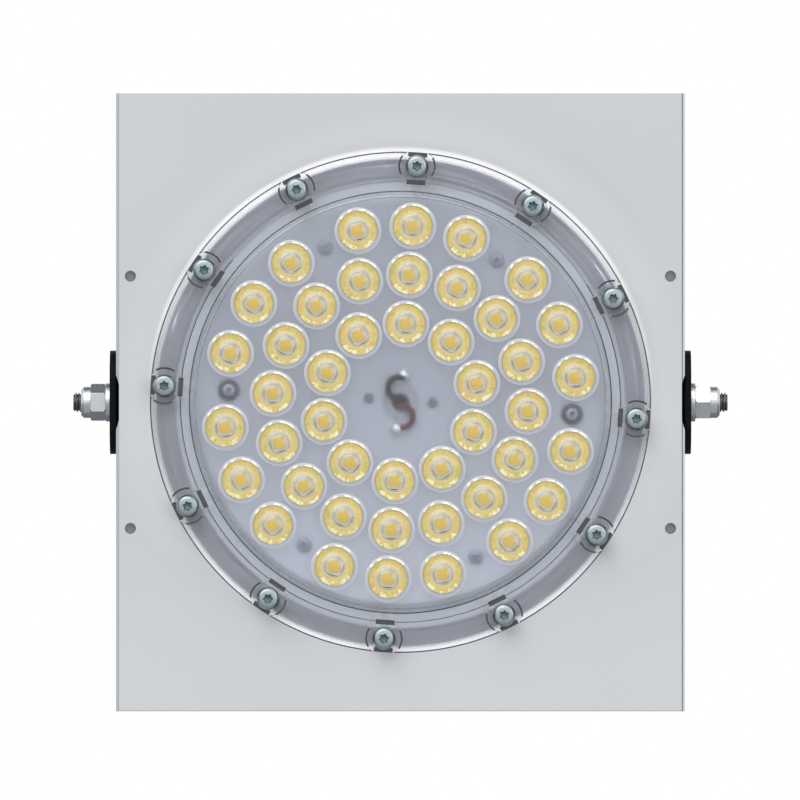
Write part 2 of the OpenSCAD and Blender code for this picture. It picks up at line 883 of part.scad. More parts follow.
module capacitors() {
    color([0.15, 0.17, 0.2]) for (x = [-1, 1]) {
        back_cylinder(x * capacitor_pitch / 2, driver_face_y, capacitor_z, capacitor_d / 2, capacitor_h);
    }
}

module choke() {
    color([0.7, 0.35, 0.15]) difference() {
        back_cylinder(choke_x, driver_face_y, choke_z, choke_d / 2, choke_h);
        back_cylinder(choke_x, driver_face_y - over, choke_z, choke_hole_d / 2, choke_h + 2 * over);
    }
}

module terminal_block() {
    color([0.15, 0.4, 0.2]) difference() {
        on_driver_board(terminal_size, 0, terminal_z);
        for (k = [0:terminal_ways - 1]) {
            translate([(k - (terminal_ways - 1) / 2) * terminal_size[0] / terminal_ways,
                driver_face_y + terminal_size[1] / 2, terminal_z - terminal_size[2] / 2 - over]) {
                cylinder(d = terminal_hole_d, h = terminal_hole_depth + over);
            }
        }
    }
}

module lid_gasket() {
    color([0.15, 0.15, 0.16]) extrude_back(back_y + case_d, lid_gasket_t) difference() {
        round_rect(case_w - slack, case_h - slack, case_corner_r - slack / 2);
        round_rect(case_w - 2 * case_wall, case_h - 2 * case_wall, case_corner_r - case_wall);
    }
}

module case_lid() {
    rib_step = 2 * boss_x * lid_rib_share / (lid_ribs - 1);
    color([0.8, 0.81, 0.82]) difference() {
        union() {
            extrude_back(lid_y, lid_t) round_rect(case_w, case_h, case_corner_r);
            for (k = [0:lid_ribs - 1]) {
                extrude_back(lid_y + lid_t / 2, lid_t / 2 + lid_rib_h) {
                    translate([(k - (lid_ribs - 1) / 2) * rib_step, 0]) {
                        round_rect(lid_rib_t, case_h - 4 * case_corner_r, lid_rib_t * lid_rib_round_share);
                    }
                }
            }
        }
        for (x = [-1, 1], z = [-1:1]) {
            back_cylinder(x * boss_x, lid_y - over, z * boss_z,
                lid_screw_d / 2 + 2 * fit_gap, lid_t + 2 * over);
        }
    }
}

module lid_screws() {
    screw_len = lid_t + lid_gasket_t + lid_screw_bite - slack;
    color([0.68, 0.73, 0.75]) for (x = [-1, 1], z = [-1:1]) {
        translate([x * boss_x, lid_y + lid_t, z * boss_z]) rotate([-90, 0, 0]) {
            pan_screw(lid_screw_head_d, lid_screw_head_h, lid_screw_d, screw_len);
        }
    }
}

// The gland's own axes: +Z out of the case, which is down
module on_gland(x) {
    translate([x, gland_y, -case_h / 2]) rotate([180, 0, 0]) children();
}

module gland_body() {
    stub_in = case_wall + gland_nut_h + slack;
    color([0.12, 0.12, 0.13]) on_gland(-gland_offset) difference() {
        union() {
            translate([0, 0, -stub_in]) cylinder(d = gland_thread_d, h = stub_in + gland_hex_h);
            hexagon(gland_hex_af, gland_hex_h);
            cylinder(d = gland_thread_d, h = gland_hex_h + gland_stub);
        }
        translate([0, 0, -stub_in - over]) {
            cylinder(d = gland_clear_d, h = stub_in + gland_hex_h + gland_stub + 2 * over);
        }
        translate([0, 0, gland_hex_h + gland_seat]) cylinder(r = gland_seal_r, h = gland_stub + over);
    }
}

module gland_locknut() {
    color([0.12, 0.12, 0.13]) on_gland(-gland_offset) translate([0, 0, -case_wall - gland_nut_h])
    difference() {
        hexagon(gland_hex_af, gland_nut_h);
        translate([0, 0, -over]) cylinder(d = gland_thread_d + 2 * fit_gap, h = gland_nut_h + 2 * over);
    }
}

module gland_seal() {
    color([0.2, 0.2, 0.21]) on_gland(-gland_offset) translate([0, 0, gland_hex_h + gland_seat]) {
        ring(gland_seal_r - fit_gap, cable_d / 2, gland_seal_h);
    }
}

module gland_cap() {
    cap_z = gland_hex_h + slack;
    cap_af = gland_thread_d + 2 * gland_cap_wall;
    nose_share = 0.86;
    color([0.12, 0.12, 0.13]) on_gland(-gland_offset) difference() {
        intersection() {
            translate([0, 0, cap_z]) hexagon(cap_af, gland_cap_h);
            translate([0, 0, cap_z]) cylinder(d1 = cap_af / cos(30) + gland_cap_h, d2 = cap_af * nose_share,
                h = gland_cap_h);
        }
        translate([0, 0, cap_z - over]) cylinder(d = gland_thread_d + 2 * fit_gap, h = gland_stub + over);
        cylinder(d = gland_clear_d, h = cap_z + gland_cap_h + over);
    }
}

module vent_plug() {
    color([0.12, 0.12, 0.13]) on_gland(gland_offset) difference() {
        union() {
            translate([0, 0, -case_wall - vent_stub]) cylinder(d = vent_d, h = case_wall + vent_stub + over);
            cylinder(d = vent_head_d, h = vent_head_h);
        }
        for (k = [0:vent_slots - 1]) rotate([0, 0, k * 360 / vent_slots]) {
            translate([vent_head_d / 2 - vent_slot_depth, -vent_slot_w / 2, vent_head_h / 3]) {
                cube([vent_head_d, vent_slot_w, vent_head_h / 3]);
            }
        }
    }
}

// The pivot's own axes on the right: +Z outwards along the tilt axis
module on_pivot(x) {
    translate([x, pivot_y, 0]) rotate([0, 90, 0]) children();
}

module pivot_studs() {
    stud_x = core_w / 2 - stud_bite;
    color([0.72, 0.73, 0.74]) both_sides() {
        on_pivot(stud_x) cylinder(d = stud_d, h = tip_x - stud_chamfer - stud_x);
        on_pivot(tip_x - stud_chamfer) {
            cylinder(d1 = stud_d, d2 = stud_d - 2 * stud_chamfer, h = stud_chamfer);
        }
    }
}

module friction_discs() {
    color([0.07, 0.07, 0.08]) both_sides() on_pivot(core_w / 2) difference() {
        union() {
            cylinder(d1 = disc_small_d, d2 = disc_d, h = disc_t - disc_rim_t);
            translate([0, 0, disc_t - disc_rim_t]) cylinder(d = disc_d, h = disc_rim_t);
        }
        translate([0, 0, -over]) cylinder(d = stud_d + 2 * fit_gap, h = disc_t + 2 * over);
    }
}

module pivot_washers() {
    color([0.74, 0.75, 0.76]) both_sides() on_pivot(washer_x) {
        ring(washer_d / 2, stud_d / 2 + fit_gap, washer_t);
    }
}

// A lock nut: chamfered hexagon, then the round collar that holds its insert
module lock_nut() {
    corner_d = nut_af / cos(30);
    crown_d = corner_d * nut_crown;
    crown_h = (corner_d - crown_d) / 2;
    difference() {
        union() {
            intersection() {
                hexagon(nut_af, nut_h);
                cylinder(d1 = crown_d, d2 = crown_d + 2 * nut_h, h = nut_h);
                cylinder(d1 = crown_d + 2 * nut_h, d2 = crown_d, h = nut_h);
                cylinder(d = corner_d + crown_h, h = nut_h);
            }
            translate([0, 0, nut_h]) {
                cylinder(d = collar_d, h = collar_h - collar_bevel);
                translate([0, 0, collar_h - collar_bevel]) {
                    cylinder(d1 = collar_d, d2 = collar_d - 2 * collar_bevel, h = collar_bevel);
                }
            }
        }
        translate([0, 0, -over]) cylinder(d = stud_d + 2 * fit_gap, h = nut_h + collar_h + 2 * over);
        translate([0, 0, nut_h + collar_h - insert_t]) {
            cylinder(r = stud_d / 2 + insert_wall, h = insert_t + over);
        }
    }
}

module lock_nuts() {
    color([0.72, 0.73, 0.74]) {
        on_pivot(nut_x) rotate([0, 0, 30]) lock_nut();
        mirror([1, 0, 0]) on_pivot(nut_x) lock_nut();
    }
}

module nut_inserts() {
    color([0.85, 0.86, 0.88]) both_sides() on_pivot(nut_x + nut_h + collar_h - insert_t) {
        ring(stud_d / 2 + insert_wall - fit_gap / 2, stud_d / 2 + fit_gap / 2, insert_t - fit_gap);
    }
}

// The strip's plan in X and Y: two arms and the cross bar, with round bends
module yoke_plan() {
    outer_w = 2 * washer_x;
    plan_d = arm_reach + arm_nose;
    difference() {
        translate([0, -plan_d / 2]) {
            round_rect(outer_w, plan_d, bend_r);
            translate([-outer_w / 2, -plan_d / 2]) square([outer_w, plan_d / 2]);
        }
        translate([0, -yoke_t - plan_d / 2]) {
            round_rect(2 * arm_x, plan_d, bend_r - yoke_t);
            translate([-arm_x, -plan_d]) square([2 * arm_x, plan_d]);
        }
    }
}

module yoke() {
    plan_d = arm_reach + arm_nose;
    color([0.06, 0.06, 0.07]) difference() {
        intersection() {
            linear_extrude(height = yoke_w, center = true) yoke_plan();
            translate([-washer_x - over, 0, 0]) rotate([90, 0, 90])
            linear_extrude(height = 2 * washer_x + 2 * over) {
                translate([-plan_d / 2, 0]) round_rect(plan_d, yoke_w, nose_r);
                translate([-plan_d / 2, -yoke_w / 2]) square([plan_d / 2, yoke_w]);
            }
        }
        both_sides() on_pivot(arm_x - over) cylinder(d = stud_d + 2 * pivot_gap, h = yoke_t + 2 * over);
        for (k = [-1:1]) {
            back_cylinder(k * mount_pitch, -yoke_t - over, 0, mount_hole_d / 2, yoke_t + 2 * over);
        }
    }
}

heat_sink();
side_plates();
side_plate_screws();
thermal_pad();
light_board();
emitter_packages();
emitter_phosphors();
board_screws();
board_washers();
board_pins();
solder_joints();
black_lead();
red_lead();
lead_grommet();
cover_gasket();
lens_cover();
cover_screw_set();
driver_case();
case_screws();
driver_board();
driver_board_screws();
transformer();
capacitors();
choke();
terminal_block();
lid_gasket();
case_lid();
lid_screws();
gland_body();
gland_locknut();
gland_seal();
gland_cap();
vent_plug();
pivot_studs();
friction_discs();
pivot_washers();
lock_nuts();
nut_inserts();
yoke();
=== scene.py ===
"""Finish, stage and camera for the LED flood light, built round its CAD frame."""

import math

import bmesh
import bpy
from mathutils import Matrix, Vector


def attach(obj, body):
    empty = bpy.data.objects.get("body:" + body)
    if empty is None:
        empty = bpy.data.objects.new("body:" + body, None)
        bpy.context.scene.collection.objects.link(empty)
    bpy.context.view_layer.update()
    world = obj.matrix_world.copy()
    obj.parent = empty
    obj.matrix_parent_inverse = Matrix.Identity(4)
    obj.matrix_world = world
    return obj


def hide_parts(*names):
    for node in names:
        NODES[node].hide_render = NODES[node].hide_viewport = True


bl_info = {
    "name": "LED flood light finish",
    "version": (1, 0, 0),
    "blender": (4, 5, 0),
    "location": "View3D > Sidebar > Flood light",
    "description": "Dresses the flood light's CAD frame and sets its stage",
    "category": "Object",
}

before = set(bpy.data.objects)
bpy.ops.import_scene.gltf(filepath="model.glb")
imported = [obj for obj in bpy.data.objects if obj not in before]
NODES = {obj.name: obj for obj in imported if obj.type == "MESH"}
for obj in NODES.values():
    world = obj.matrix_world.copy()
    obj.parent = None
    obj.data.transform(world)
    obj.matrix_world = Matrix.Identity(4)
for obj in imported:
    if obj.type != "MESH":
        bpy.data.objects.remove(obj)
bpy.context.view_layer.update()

MM = 0.001
QUARTER = math.radians(90)
FACE_Y = -155 * MM
PIVOT_Y = -137 * MM
SIDE_JOINT_X = 114.15 * MM
# Accessory holes on the face, darkened inside by painted shade
HOLE_X, HOLE_Z, HOLE_R = 109.2 * MM, 51 * MM, 2.3 * MM
MODULE_TURN = math.radians(4.0)

# How near two places count as one: in a CAD mesh, in a finer mesh, and when a place is compared
WELD, FINE_WELD, TINY = 0.002 * MM, 0.001 * MM, 0.01 * MM

# Lens cover, in the module's axes: radius from its middle, height above the face
COVER_R = 101.2 * MM
RIM_IN_R = 88.8 * MM
BAND_IN_R = 85.4 * MM
PLATE_R = 82.6 * MM
STEP_LINE_R = 83.3 * MM
SHADED_R = 84.2 * MM
WELL_R = 83.1 * MM
RIM_H = 9.6 * MM
BAND_H = 6.6 * MM
LENS_UNDER = 5.4 * MM
LENS_TOP = 8.0 * MM
GASKET_T = 2.2 * MM
GASKET_IN_R = 91.3 * MM
GASKET_OUT_R = 98.2 * MM
GASKET_HOLE_R = 2.9 * MM
LIP_W = 2.0 * MM
LIP_CLEAR = 0.2 * MM
DOME_R = 9.2 * MM
DOME_H = 5.8 * MM
DOME_SHOULDER_R = 6.0 * MM
DOME_WAIST_R = 8.0 * MM
DOME_WAIST_H = 1.15 * MM
HOLLOW_R = 3.8 * MM
HOLLOW_H = 4.9 * MM
HOLLOW_ROOF_R = 6.9 * MM
SCREW_CIRCLE_R = 95.6 * MM
SCREW_COUNT = 12
POCKET_R = 7.1 * MM
POCKET_FLOOR = 6.2 * MM
POCKET_SLOT = 3.9 * MM
POCKET_LEDGE = 6.5 * MM
POCKET_SEAT_R = 5.5 * MM
POCKET_OUTER_END = 3.7 * MM
POCKET_INNER_END = 5.6 * MM
POCKET_EDGE = 0.45 * MM
SCREW_HOLE_R = 2.65 * MM

# The cover's materials, in the order of its slots
CLEAR, FROSTED, RINGS, FEET, PAINTED_SHADE_LINES, SHADED = range(6)

# Screws: radius and height of the head, radius and length of the shank
COVER_SCREW = (4.65 * MM, 3.0 * MM, 2.5 * MM, 12.6 * MM)
BOARD_SCREW = (2.8 * MM, 1.8 * MM, 1.5 * MM, 7.0 * MM)
CASE_SCREW = (3.8 * MM, 2.6 * MM, 2.0 * MM, 9.5 * MM)
SCREW_STEPS = 72
SCREW_TURN = math.radians(137.5)
RECESS_LOBE = 0.14

# The recess in a screw's head, from its mouth down: share of its radius, share of the head's height
RECESS_LINE = ((1.07, 1.0), (1.0, 0.95), (0.97, 0.45), (0.8, 0.38), (0.3, 0.33))

# Light board, its packages and screws, and where painted light makes its lower half lighter
BOARD_PAINTED_LIGHT_Z = (10 * MM, -90 * MM)
BOARD_TOP = 2.0 * MM
PACKAGE_W, PACKAGE_T, PACKAGE_EDGE = 7.0 * MM, 0.7 * MM, 0.12 * MM

# The thin dark sheet under each package, a painted shadow that shows below it: width, thickness and how far
# down it lies
PACKAGE_SHADOW_W, PACKAGE_SHADOW_T, PACKAGE_SHADOW_SHIFT = PACKAGE_W + 0.2 * MM, 0.08 * MM, 0.6 * MM
BOARD_SCREW_R, BOARD_SCREW_COUNT = 69.5 * MM, 6
BOARD_WASHER_T = 0.5 * MM
CASE_SCREW_X, CASE_SCREW_Z, CASE_SCREW_Y = 22 * MM, 95.5 * MM, -143 * MM

# Steps of the yellow ring from its inner to its outer edge, and sides of turned shapes
RING_STEPS = 3
DOME_STEPS = 56
RING_SIDES = 288

# Painted highlights on the domes, angles counted from +X in the picture: from, to
FOOT_ARCS = ((42, 65), (71, 88), (111, 120), (134, 145))
RING_ARCS = ((213, 266), (287, 325))
ARC_FADE = 5

# Painted light on the face, round and under the clear cover: where it grows from nothing to its full share
RIM_LIGHT_R, RIM_LIGHT_Z = (GASKET_OUT_R - 0.4 * MM, GASKET_OUT_R + 0.8 * MM), (15 * MM, 85 * MM)
EDGE_LIGHT_R, EDGE_LIGHT_Z = (COVER_R + 2.8 * MM, COVER_R + 0.9 * MM), (-15 * MM, 75 * MM)
WIDE_LIGHT_R, WIDE_LIGHT_Z = (COVER_R + 18 * MM, COVER_R), (-85 * MM, -15 * MM)
LOW_LIGHT_Z = (-55 * MM, -105 * MM)
WIDE_LIGHT, LOW_LIGHT = 0.22, 0.055

# Rings of emitters: radius, number
OUTER_R, OUTER_GROUPS, OUTER_GAP = 71.4 * MM, 6, math.radians(17.9)
MIDDLE_R, MIDDLE_COUNT = 51.6 * MM, 16
INNER_R, INNER_COUNT = 31.8 * MM, 10

# Pivot hardware, distances from the middle along the tilt axis
STUD_R = 4.0 * MM
STUD_IN_X = 101.8 * MM
STUD_TIP_X = 132.7 * MM
COLLAR_X = 125.7 * MM
STUD_CHAMFER = 0.8 * MM
THREAD_CREST = 0.14
THREAD_ROWS, STUD_SIDES = 96, 48

# The room's light on the object, and what the camera sees: width, and its place across and up
ROOM_LIGHT = 0.57
VIEW_WIDTH, VIEW_X, VIEW_Z = 323.49 * MM, -0.18 * MM, 0.93 * MM

# Lamps and cards in metres: name, place, width, height, then watts or what is aimed at and colour
LAMPS = (
    ("key", (-1.2, -3.0, 3.2), 4.2, 4.2, 88),
    ("fill", (2.4, -3.4, 0.6), 2.4, 2.4, 18),
)
LIGHT_FACE = (0, FACE_Y, 0)
CARDS = (
    ("card_left", (-2.2, -1.2, -0.4), 1.2, 2.4, LIGHT_FACE, (0.04, 0.04, 0.045)),
    ("card_right", (2.2, -1.2, -0.4), 1.2, 2.4, LIGHT_FACE, (0.04, 0.04, 0.045)),
    ("card_above", (0, 0.9, 1.9), 4.0, 2.0, LIGHT_FACE, (0.3, 0.28, 0.27)),
    ("card_front", (0, -2.85, -0.48), 9.0, 5.3, (0, -2.85, 0), (0.56, 0.56, 0.57)),
    ("card_below", (0, 1.5, -0.48), 9.0, 3.4, (0, 1.5, 0), (0.27, 0.285, 0.31)),
)


def shade(red, green, blue):
    """A colour given as it looks on screen, 0 to 255, in Blender's own linear values."""
    def linear(value):
        share = value / 255
        return share / 12.92 if share <= 0.04045 else ((share + 0.055) / 1.055) ** 2.4
    return (linear(red), linear(green), linear(blue))


def size_field(label, text, millimetres):
    return bpy.props.FloatProperty(
        name=label, description=text, default=millimetres * MM, min=0.0,
        unit="LENGTH", subtype="DISTANCE", precision=5,
    )


def colour_field(label, text, colour):
    return bpy.props.FloatVectorProperty(
        name=label, description=text, default=colour, size=3, min=0.0, max=1.0, subtype="COLOR",
    )


class FloodlightColours(bpy.types.PropertyGroup):
    paint: colour_field("Paint", "Light grey powder coat of the body", shade(206, 210, 213))
    yoke_paint: colour_field("Yoke paint", "Black powder coat of the yoke", shade(14, 14, 15))
    board: colour_field("Board", "White solder mask of the light board", shade(178, 182, 190))
    phosphor: colour_field("Phosphor", "Yellow face of an emitter", shade(240, 205, 88))
    ring: colour_field("Lens ring", "Yellow light caught under a dome", shade(252, 228, 124))
    # The dome foot's pale colour is a painted reflection
    painted_dome_foot: colour_field("Dome foot", "Pale edge round each dome", shade(214, 217, 226))
    package: colour_field("Package", "White frame of an emitter", shade(226, 226, 224))
    gasket: colour_field("Gasket", "Grey rubber under the cover's rim", shade(150, 149, 156))
    zinc: colour_field("Zinc", "Bright zinc of screws, nuts and washers", shade(205, 210, 214))
    blue_zinc: colour_field("Blue zinc", "Bluish zinc of the cover's screws", shade(164, 177, 182))
    rubber: colour_field("Dark rubber", "Black rubber and nylon", shade(28, 28, 31))
    red_lead: colour_field("Red lead", "Insulation of the red lead", shade(98, 22, 32))
    black_lead: colour_field("Black lead", "Insulation of the black lead", shade(5, 5, 9))


class FloodlightSizes(bpy.types.PropertyGroup):
    body_edge: size_field("Body edge", "Rounding of the extrusion's edges", 0.35)
    casting_edge: size_field("Case edge", "Rounding of the driver case's edges", 0.9)
    yoke_edge: size_field("Yoke edge", "Rounding of the yoke's cut edges", 0.45)
    metal_edge: size_field("Metal edge", "Rounding of screws, nuts and washers", 0.18)
    plastic_edge: size_field("Plastic edge", "Rounding of nylon and rubber pieces", 0.3)
    thread_pitch: size_field("Thread pitch", "Rise of the pivot stud's thread in one turn", 1.25)
    thread_depth: size_field("Thread depth", "Depth of the pivot stud's thread", 0.85)
    ring_reach: size_field("Ring reach", "Outer radius of the yellow ring under a dome", 6.6)
    camera_distance: size_field("Camera distance", "From the light face to the camera", 5000)


def link(obj):
    bpy.context.scene.collection.objects.link(obj)
    return obj


def new_piece(node, mesh, materials, body="lamp_head"):
    """Adds a finished mesh as the piece that stands for a CAD node and rides on a body."""
    mesh.name = node + "_finished"
    obj = link(bpy.data.objects.new(mesh.name, mesh))
    for material in materials:
        mesh.materials.append(material)
    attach(obj, body)
    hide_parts(node)
    return obj


def shade_smooth(mesh, angle):
    mesh.polygons.foreach_set("use_smooth", [True] * len(mesh.polygons))
    mesh.set_sharp_from_angle(angle=math.radians(angle))


def store_mesh(bm, angle=None):
    """Stores a shape as a mesh, smooth up to an angle in degrees."""
    mesh = bpy.data.meshes.new("shape")
    bm.to_mesh(mesh)
    bm.free()
    if angle is not None:
        shade_smooth(mesh, angle)
    return mesh


def close_mesh(bm, angle=None):
    """Stores a closed shape with all its faces turned outwards."""
    bmesh.ops.recalc_face_normals(bm, faces=bm.faces)
    return store_mesh(bm, angle)


def node_shape(node, weld):
    """A copy of a CAD node's mesh, its doubled vertices joined."""
    bm = bmesh.new()
    bm.from_mesh(NODES[node].data)
    bmesh.ops.remove_doubles(bm, verts=bm.verts, dist=weld)
    return bm


def even_shading(obj, weight=50):
    weighted = obj.modifiers.new("Even shading", "WEIGHTED_NORMAL")
    weighted.keep_sharp = True
    weighted.weight = weight


def finish_node(node, material, edge, segments=2, angle=34, body="lamp_head"):
    """Copies a CAD node's mesh, clears its flat faces and rounds its edges."""
    bm = node_shape(node, WELD)
    bmesh.ops.dissolve_limit(
        bm, angle_limit=math.radians(0.05), use_dissolve_boundaries=False,
        verts=bm.verts, edges=bm.edges, delimit=set(),
    )
    obj = new_piece(node, store_mesh(bm, angle), [material], body)
    if edge > 0:
        bevel = obj.modifiers.new("Edges", "BEVEL")
        bevel.width = edge
        bevel.segments = segments
        bevel.limit_method = "ANGLE"
        bevel.angle_limit = math.radians(angle)
        bevel.miter_outer = "MITER_ARC"
        even_shading(obj, 80)


# Node groups: effects that several materials share


def set_inputs(node, values):
    """Gives a node's inputs a number, a colour or another node's output."""
    for label, value in values.items():
        if isinstance(value, bpy.types.NodeSocket):
            node.id_data.links.new(value, node.inputs[label])
        elif isinstance(value, (int, float)):
            node.inputs[label].default_value = value
        else:
            node.inputs[label].default_value = (*value, 1)


def add_node(tree, kind, values=None, **settings):
    """Adds a node and returns its outputs."""
    node = tree.nodes.new(kind)
    for name, setting in settings.items():
        setattr(node, name, setting)
    set_inputs(node, values or {})
    return node.outputs


def add_math(operation, first, second=0.0):
    """A sum on another node's output, in that node's own tree."""
    return add_node(first.id_data, "ShaderNodeMath", {0: first, 1: second}, operation=operation)[0]


def multiply(result, *factors):
    for factor in factors:
        result = add_math("MULTIPLY", result, factor)
    return result


def add_noise(vector, scale, detail):
    values = {"Vector": vector, "Scale": scale, "Detail": detail}
    return add_node(vector.id_data, "ShaderNodeTexNoise", values)["Fac"]


def object_place(tree):
    return add_node(tree, "ShaderNodeTexCoord")["Object"]


def object_axes(tree):
    """The place on the object as its x, y and z."""
    return add_node(tree, "ShaderNodeSeparateXYZ", {0: object_place(tree)})


def join_axes(*values):
    return add_node(values[0].id_data, "ShaderNodeCombineXYZ", dict(enumerate(values)))[0]


def stored_value(tree, name):
    """A value that is stored on the mesh's vertices."""
    return add_node(tree, "ShaderNodeAttribute", attribute_name=name)["Fac"]


def between(value, low, high, first=0.0, last=1.0):
    """Maps a value from between two limits to between two others."""
    limits = {"From Min": low, "From Max": high, "To Min": first, "To Max": last}
    return add_node(value.id_data, "ShaderNodeMapRange", {"Value": value, **limits})["Result"]


def flat_reach(x, z):
    """The distance from the middle of the light face, across it."""
    squares = add_math("ADD", multiply(x, x), multiply(z, z))
    return add_math("SQRT", squares)


def shared_group(name, **inputs):
    """Builds a node group the first time that a material asks for it."""
    def wrap(fill):
        def find():
            if name in bpy.data.node_groups:
                return bpy.data.node_groups[name]
            group = bpy.data.node_groups.new(name, "ShaderNodeTree")
            for label, default in inputs.items():
                socket = group.interface.new_socket(label, in_out="INPUT", socket_type="NodeSocketFloat")
                socket.default_value = default
            values = fill(group, add_node(group, "NodeGroupInput"))
            for label in values:
                group.interface.new_socket(label, in_out="OUTPUT", socket_type="NodeSocketFloat")
            add_node(group, "NodeGroupOutput", values)
            return group
        return find
    return wrap


@shared_group("Skin Grain", Grain=1400.0, Cloud=18.0)
def grain_group(group, source):
    """Fine moulded or powder-coated skin: a height, and a slow cloudiness."""
    place = object_place(group)
    return {
        "Height": add_noise(place, source["Grain"], 2.0),
        "Cloudiness": add_noise(place, source["Cloud"], 3.0),
    }


@shared_group("Fine Streaks", Density=900.0, Stretch=0.08)
def streak_group(group, source):
    """Drawn or rolled marks: noise stretched along one axis, with small specks."""
    x, y, z = object_axes(group)
    stretched = join_axes(x, y, multiply(z, source["Stretch"]))
    dots = {"Vector": object_place(group), "Scale": source["Density"]}
    return {
        "Streaks": add_noise(stretched, source["Density"], 4.0),
        "Specks": add_node(group, "ShaderNodeTexVoronoi", dots)["Distance"],
    }


@shared_group("Ring Streaks", Lines=400.0, Turns=2.0)
def ring_streak_group(group, source):
    """Streaks that run round the middle of the light face."""
    x, _, z = object_axes(group)
    lines = multiply(flat_reach(x, z), source["Lines"])
    turns = multiply(add_math("ARCTAN2", z, x), source["Turns"])
    return {"Streaks": add_noise(join_axes(lines, turns), 1.0, 3.0)}


@shared_group("Painted Highlights", Low=0.3, High=0.5)
def glint_group(group, source):
    """The painted highlights stored on a mesh, broken up by fine noise."""
    noise = add_noise(object_place(group), 1300.0, 3.0)
    patches = multiply(stored_value(group, "glint"), noise)
    return {"Mask": between(patches, source["Low"], source["High"])}


# Materials


def nodes_of(material):
    """A material's node tree and its main shader."""
    return material.node_tree, material.node_tree.nodes["Principled BSDF"]


def blank_material(name):
    material = bpy.data.materials.new(name)
    material.use_nodes = True
    return (material, *nodes_of(material))


def place_group(tree, group, **values):
    """Places a shared group with its own settings and returns its outputs."""
    return add_node(tree, "ShaderNodeGroup", values, node_tree=group)


def mix_shaders(share, first, second, last_node):
    """Shows the first shader where the share is 0 and the second where it is 1."""
    tree = share.id_data
    mix = add_node(tree, "ShaderNodeMixShader", {0: share, 1: first, 2: second})
    set_inputs(tree.nodes[last_node], {"Surface": mix[0]})


def vary_colour(bsdf, mask, first, second, socket="Base Color"):
    values = {"Factor": mask, "A": first, "B": second}
    mix = add_node(bsdf.id_data, "ShaderNodeMix", values, data_type="RGBA")
    set_inputs(bsdf, {socket: mix["Result"]})


def lay_over(bsdf, mask, colour, glow=0.0):
    """Lays a colour over the base colour, where it can also glow a little."""
    vary_colour(bsdf, mask, bsdf.inputs["Base Color"].links[0].from_socket, colour)
    if glow > 0:
        vary_colour(bsdf, mask, (0, 0, 0), colour, "Emission Color")
        set_inputs(bsdf, {"Emission Strength": glow})


def pass_lamps(bsdf, cast):
    """Lets the lamps' light through a surface, so that what it covers is lit."""
    path = add_node(bsdf.id_data, "ShaderNodeLightPath")
    through = add_node(bsdf.id_data, "ShaderNodeBsdfTransparent", {"Color": cast})
    mix_shaders(path["Is Shadow Ray"], bsdf.outputs[0], through[0], "Material Output")


def add_bump(bsdf, height, strength, distance):
    values = {"Height": height, "Strength": strength, "Distance": distance}
    bump = add_node(bsdf.id_data, "ShaderNodeBump", values)
    set_inputs(bsdf, {"Normal": bump["Normal"]})


def tinted(colour, share):
    return tuple(min(1.0, value * share) for value in colour)


def painted(name, colour, roughness, grain=900.0, strength=0.12, spread=0.03, specular=0.4):
    """Powder coat: orange-peel grain, and colour that clouds very slightly."""
    material, tree, bsdf = blank_material(name)
    skin = place_group(tree, grain_group(), Grain=grain, Cloud=14.0)
    cloud = skin["Cloudiness"]
    vary_colour(bsdf, cloud, tinted(colour, 1 - spread), tinted(colour, 1 + spread))
    gloss = between(cloud, 0, 1, roughness - 0.04, roughness + 0.04)
    add_bump(bsdf, skin["Height"], strength, 0.05 * MM)
    set_inputs(bsdf, {"Roughness": gloss, "Specular IOR Level": specular})
    return material


def moulded(name, colour, roughness, grain=1600.0, strength=0.15, spread=0.08):
    """Nylon, rubber and other moulded pieces."""
    return painted(name, colour, roughness, grain, strength, spread, specular=0.45)


def metal(name, colour, roughness, stretch=1.0, contrast=0.06):
    """Plated or bare metal with rolled marks and specks."""
    material, tree, bsdf = blank_material(name)
    marks = place_group(tree, streak_group(), Density=500.0, Stretch=stretch)
    vary_colour(bsdf, marks["Streaks"], tinted(colour, 1 - contrast), tinted(colour, 1 + contrast))
    specks = between(marks["Specks"], 0, 1, roughness - 0.03, roughness + 0.05)
    add_bump(bsdf, marks["Streaks"], 0.012, 0.02 * MM)
    set_inputs(bsdf, {"Roughness": specks, "Metallic": 1.0})
    return material


def clear(name, colour, roughness, grain, strength, cast):
    material, tree, bsdf = blank_material(name)
    set_inputs(bsdf, {
        "Base Color": colour, "Roughness": roughness, "IOR": 1.49, "Transmission Weight": 1.0})
    if strength > 0:
        skin = place_group(tree, grain_group(), Grain=grain, Cloud=30.0)
        add_bump(bsdf, skin["Height"], strength, 0.05 * MM)
    pass_lamps(bsdf, cast)
    return material


def painted_dome_foot(colour):
    """The flared edge of a dome, painted pale as a reflection, with painted highlights on its steep side."""
    material, tree, bsdf = blank_material("Dome Foot Painted Reflection")
    vary_colour(bsdf, stored_value(tree, "reach"), tinted(colour, 0.88), colour)
    # Painted highlights on the foot's steep side
    patches = place_group(tree, glint_group(), Low=0.25, High=0.4)
    lay_over(bsdf, patches["Mask"], shade(255, 253, 236), 0.5)
    set_inputs(bsdf, {"Roughness": 0.35})
    pass_lamps(bsdf, (0.9, 0.9, 0.92))
    return material


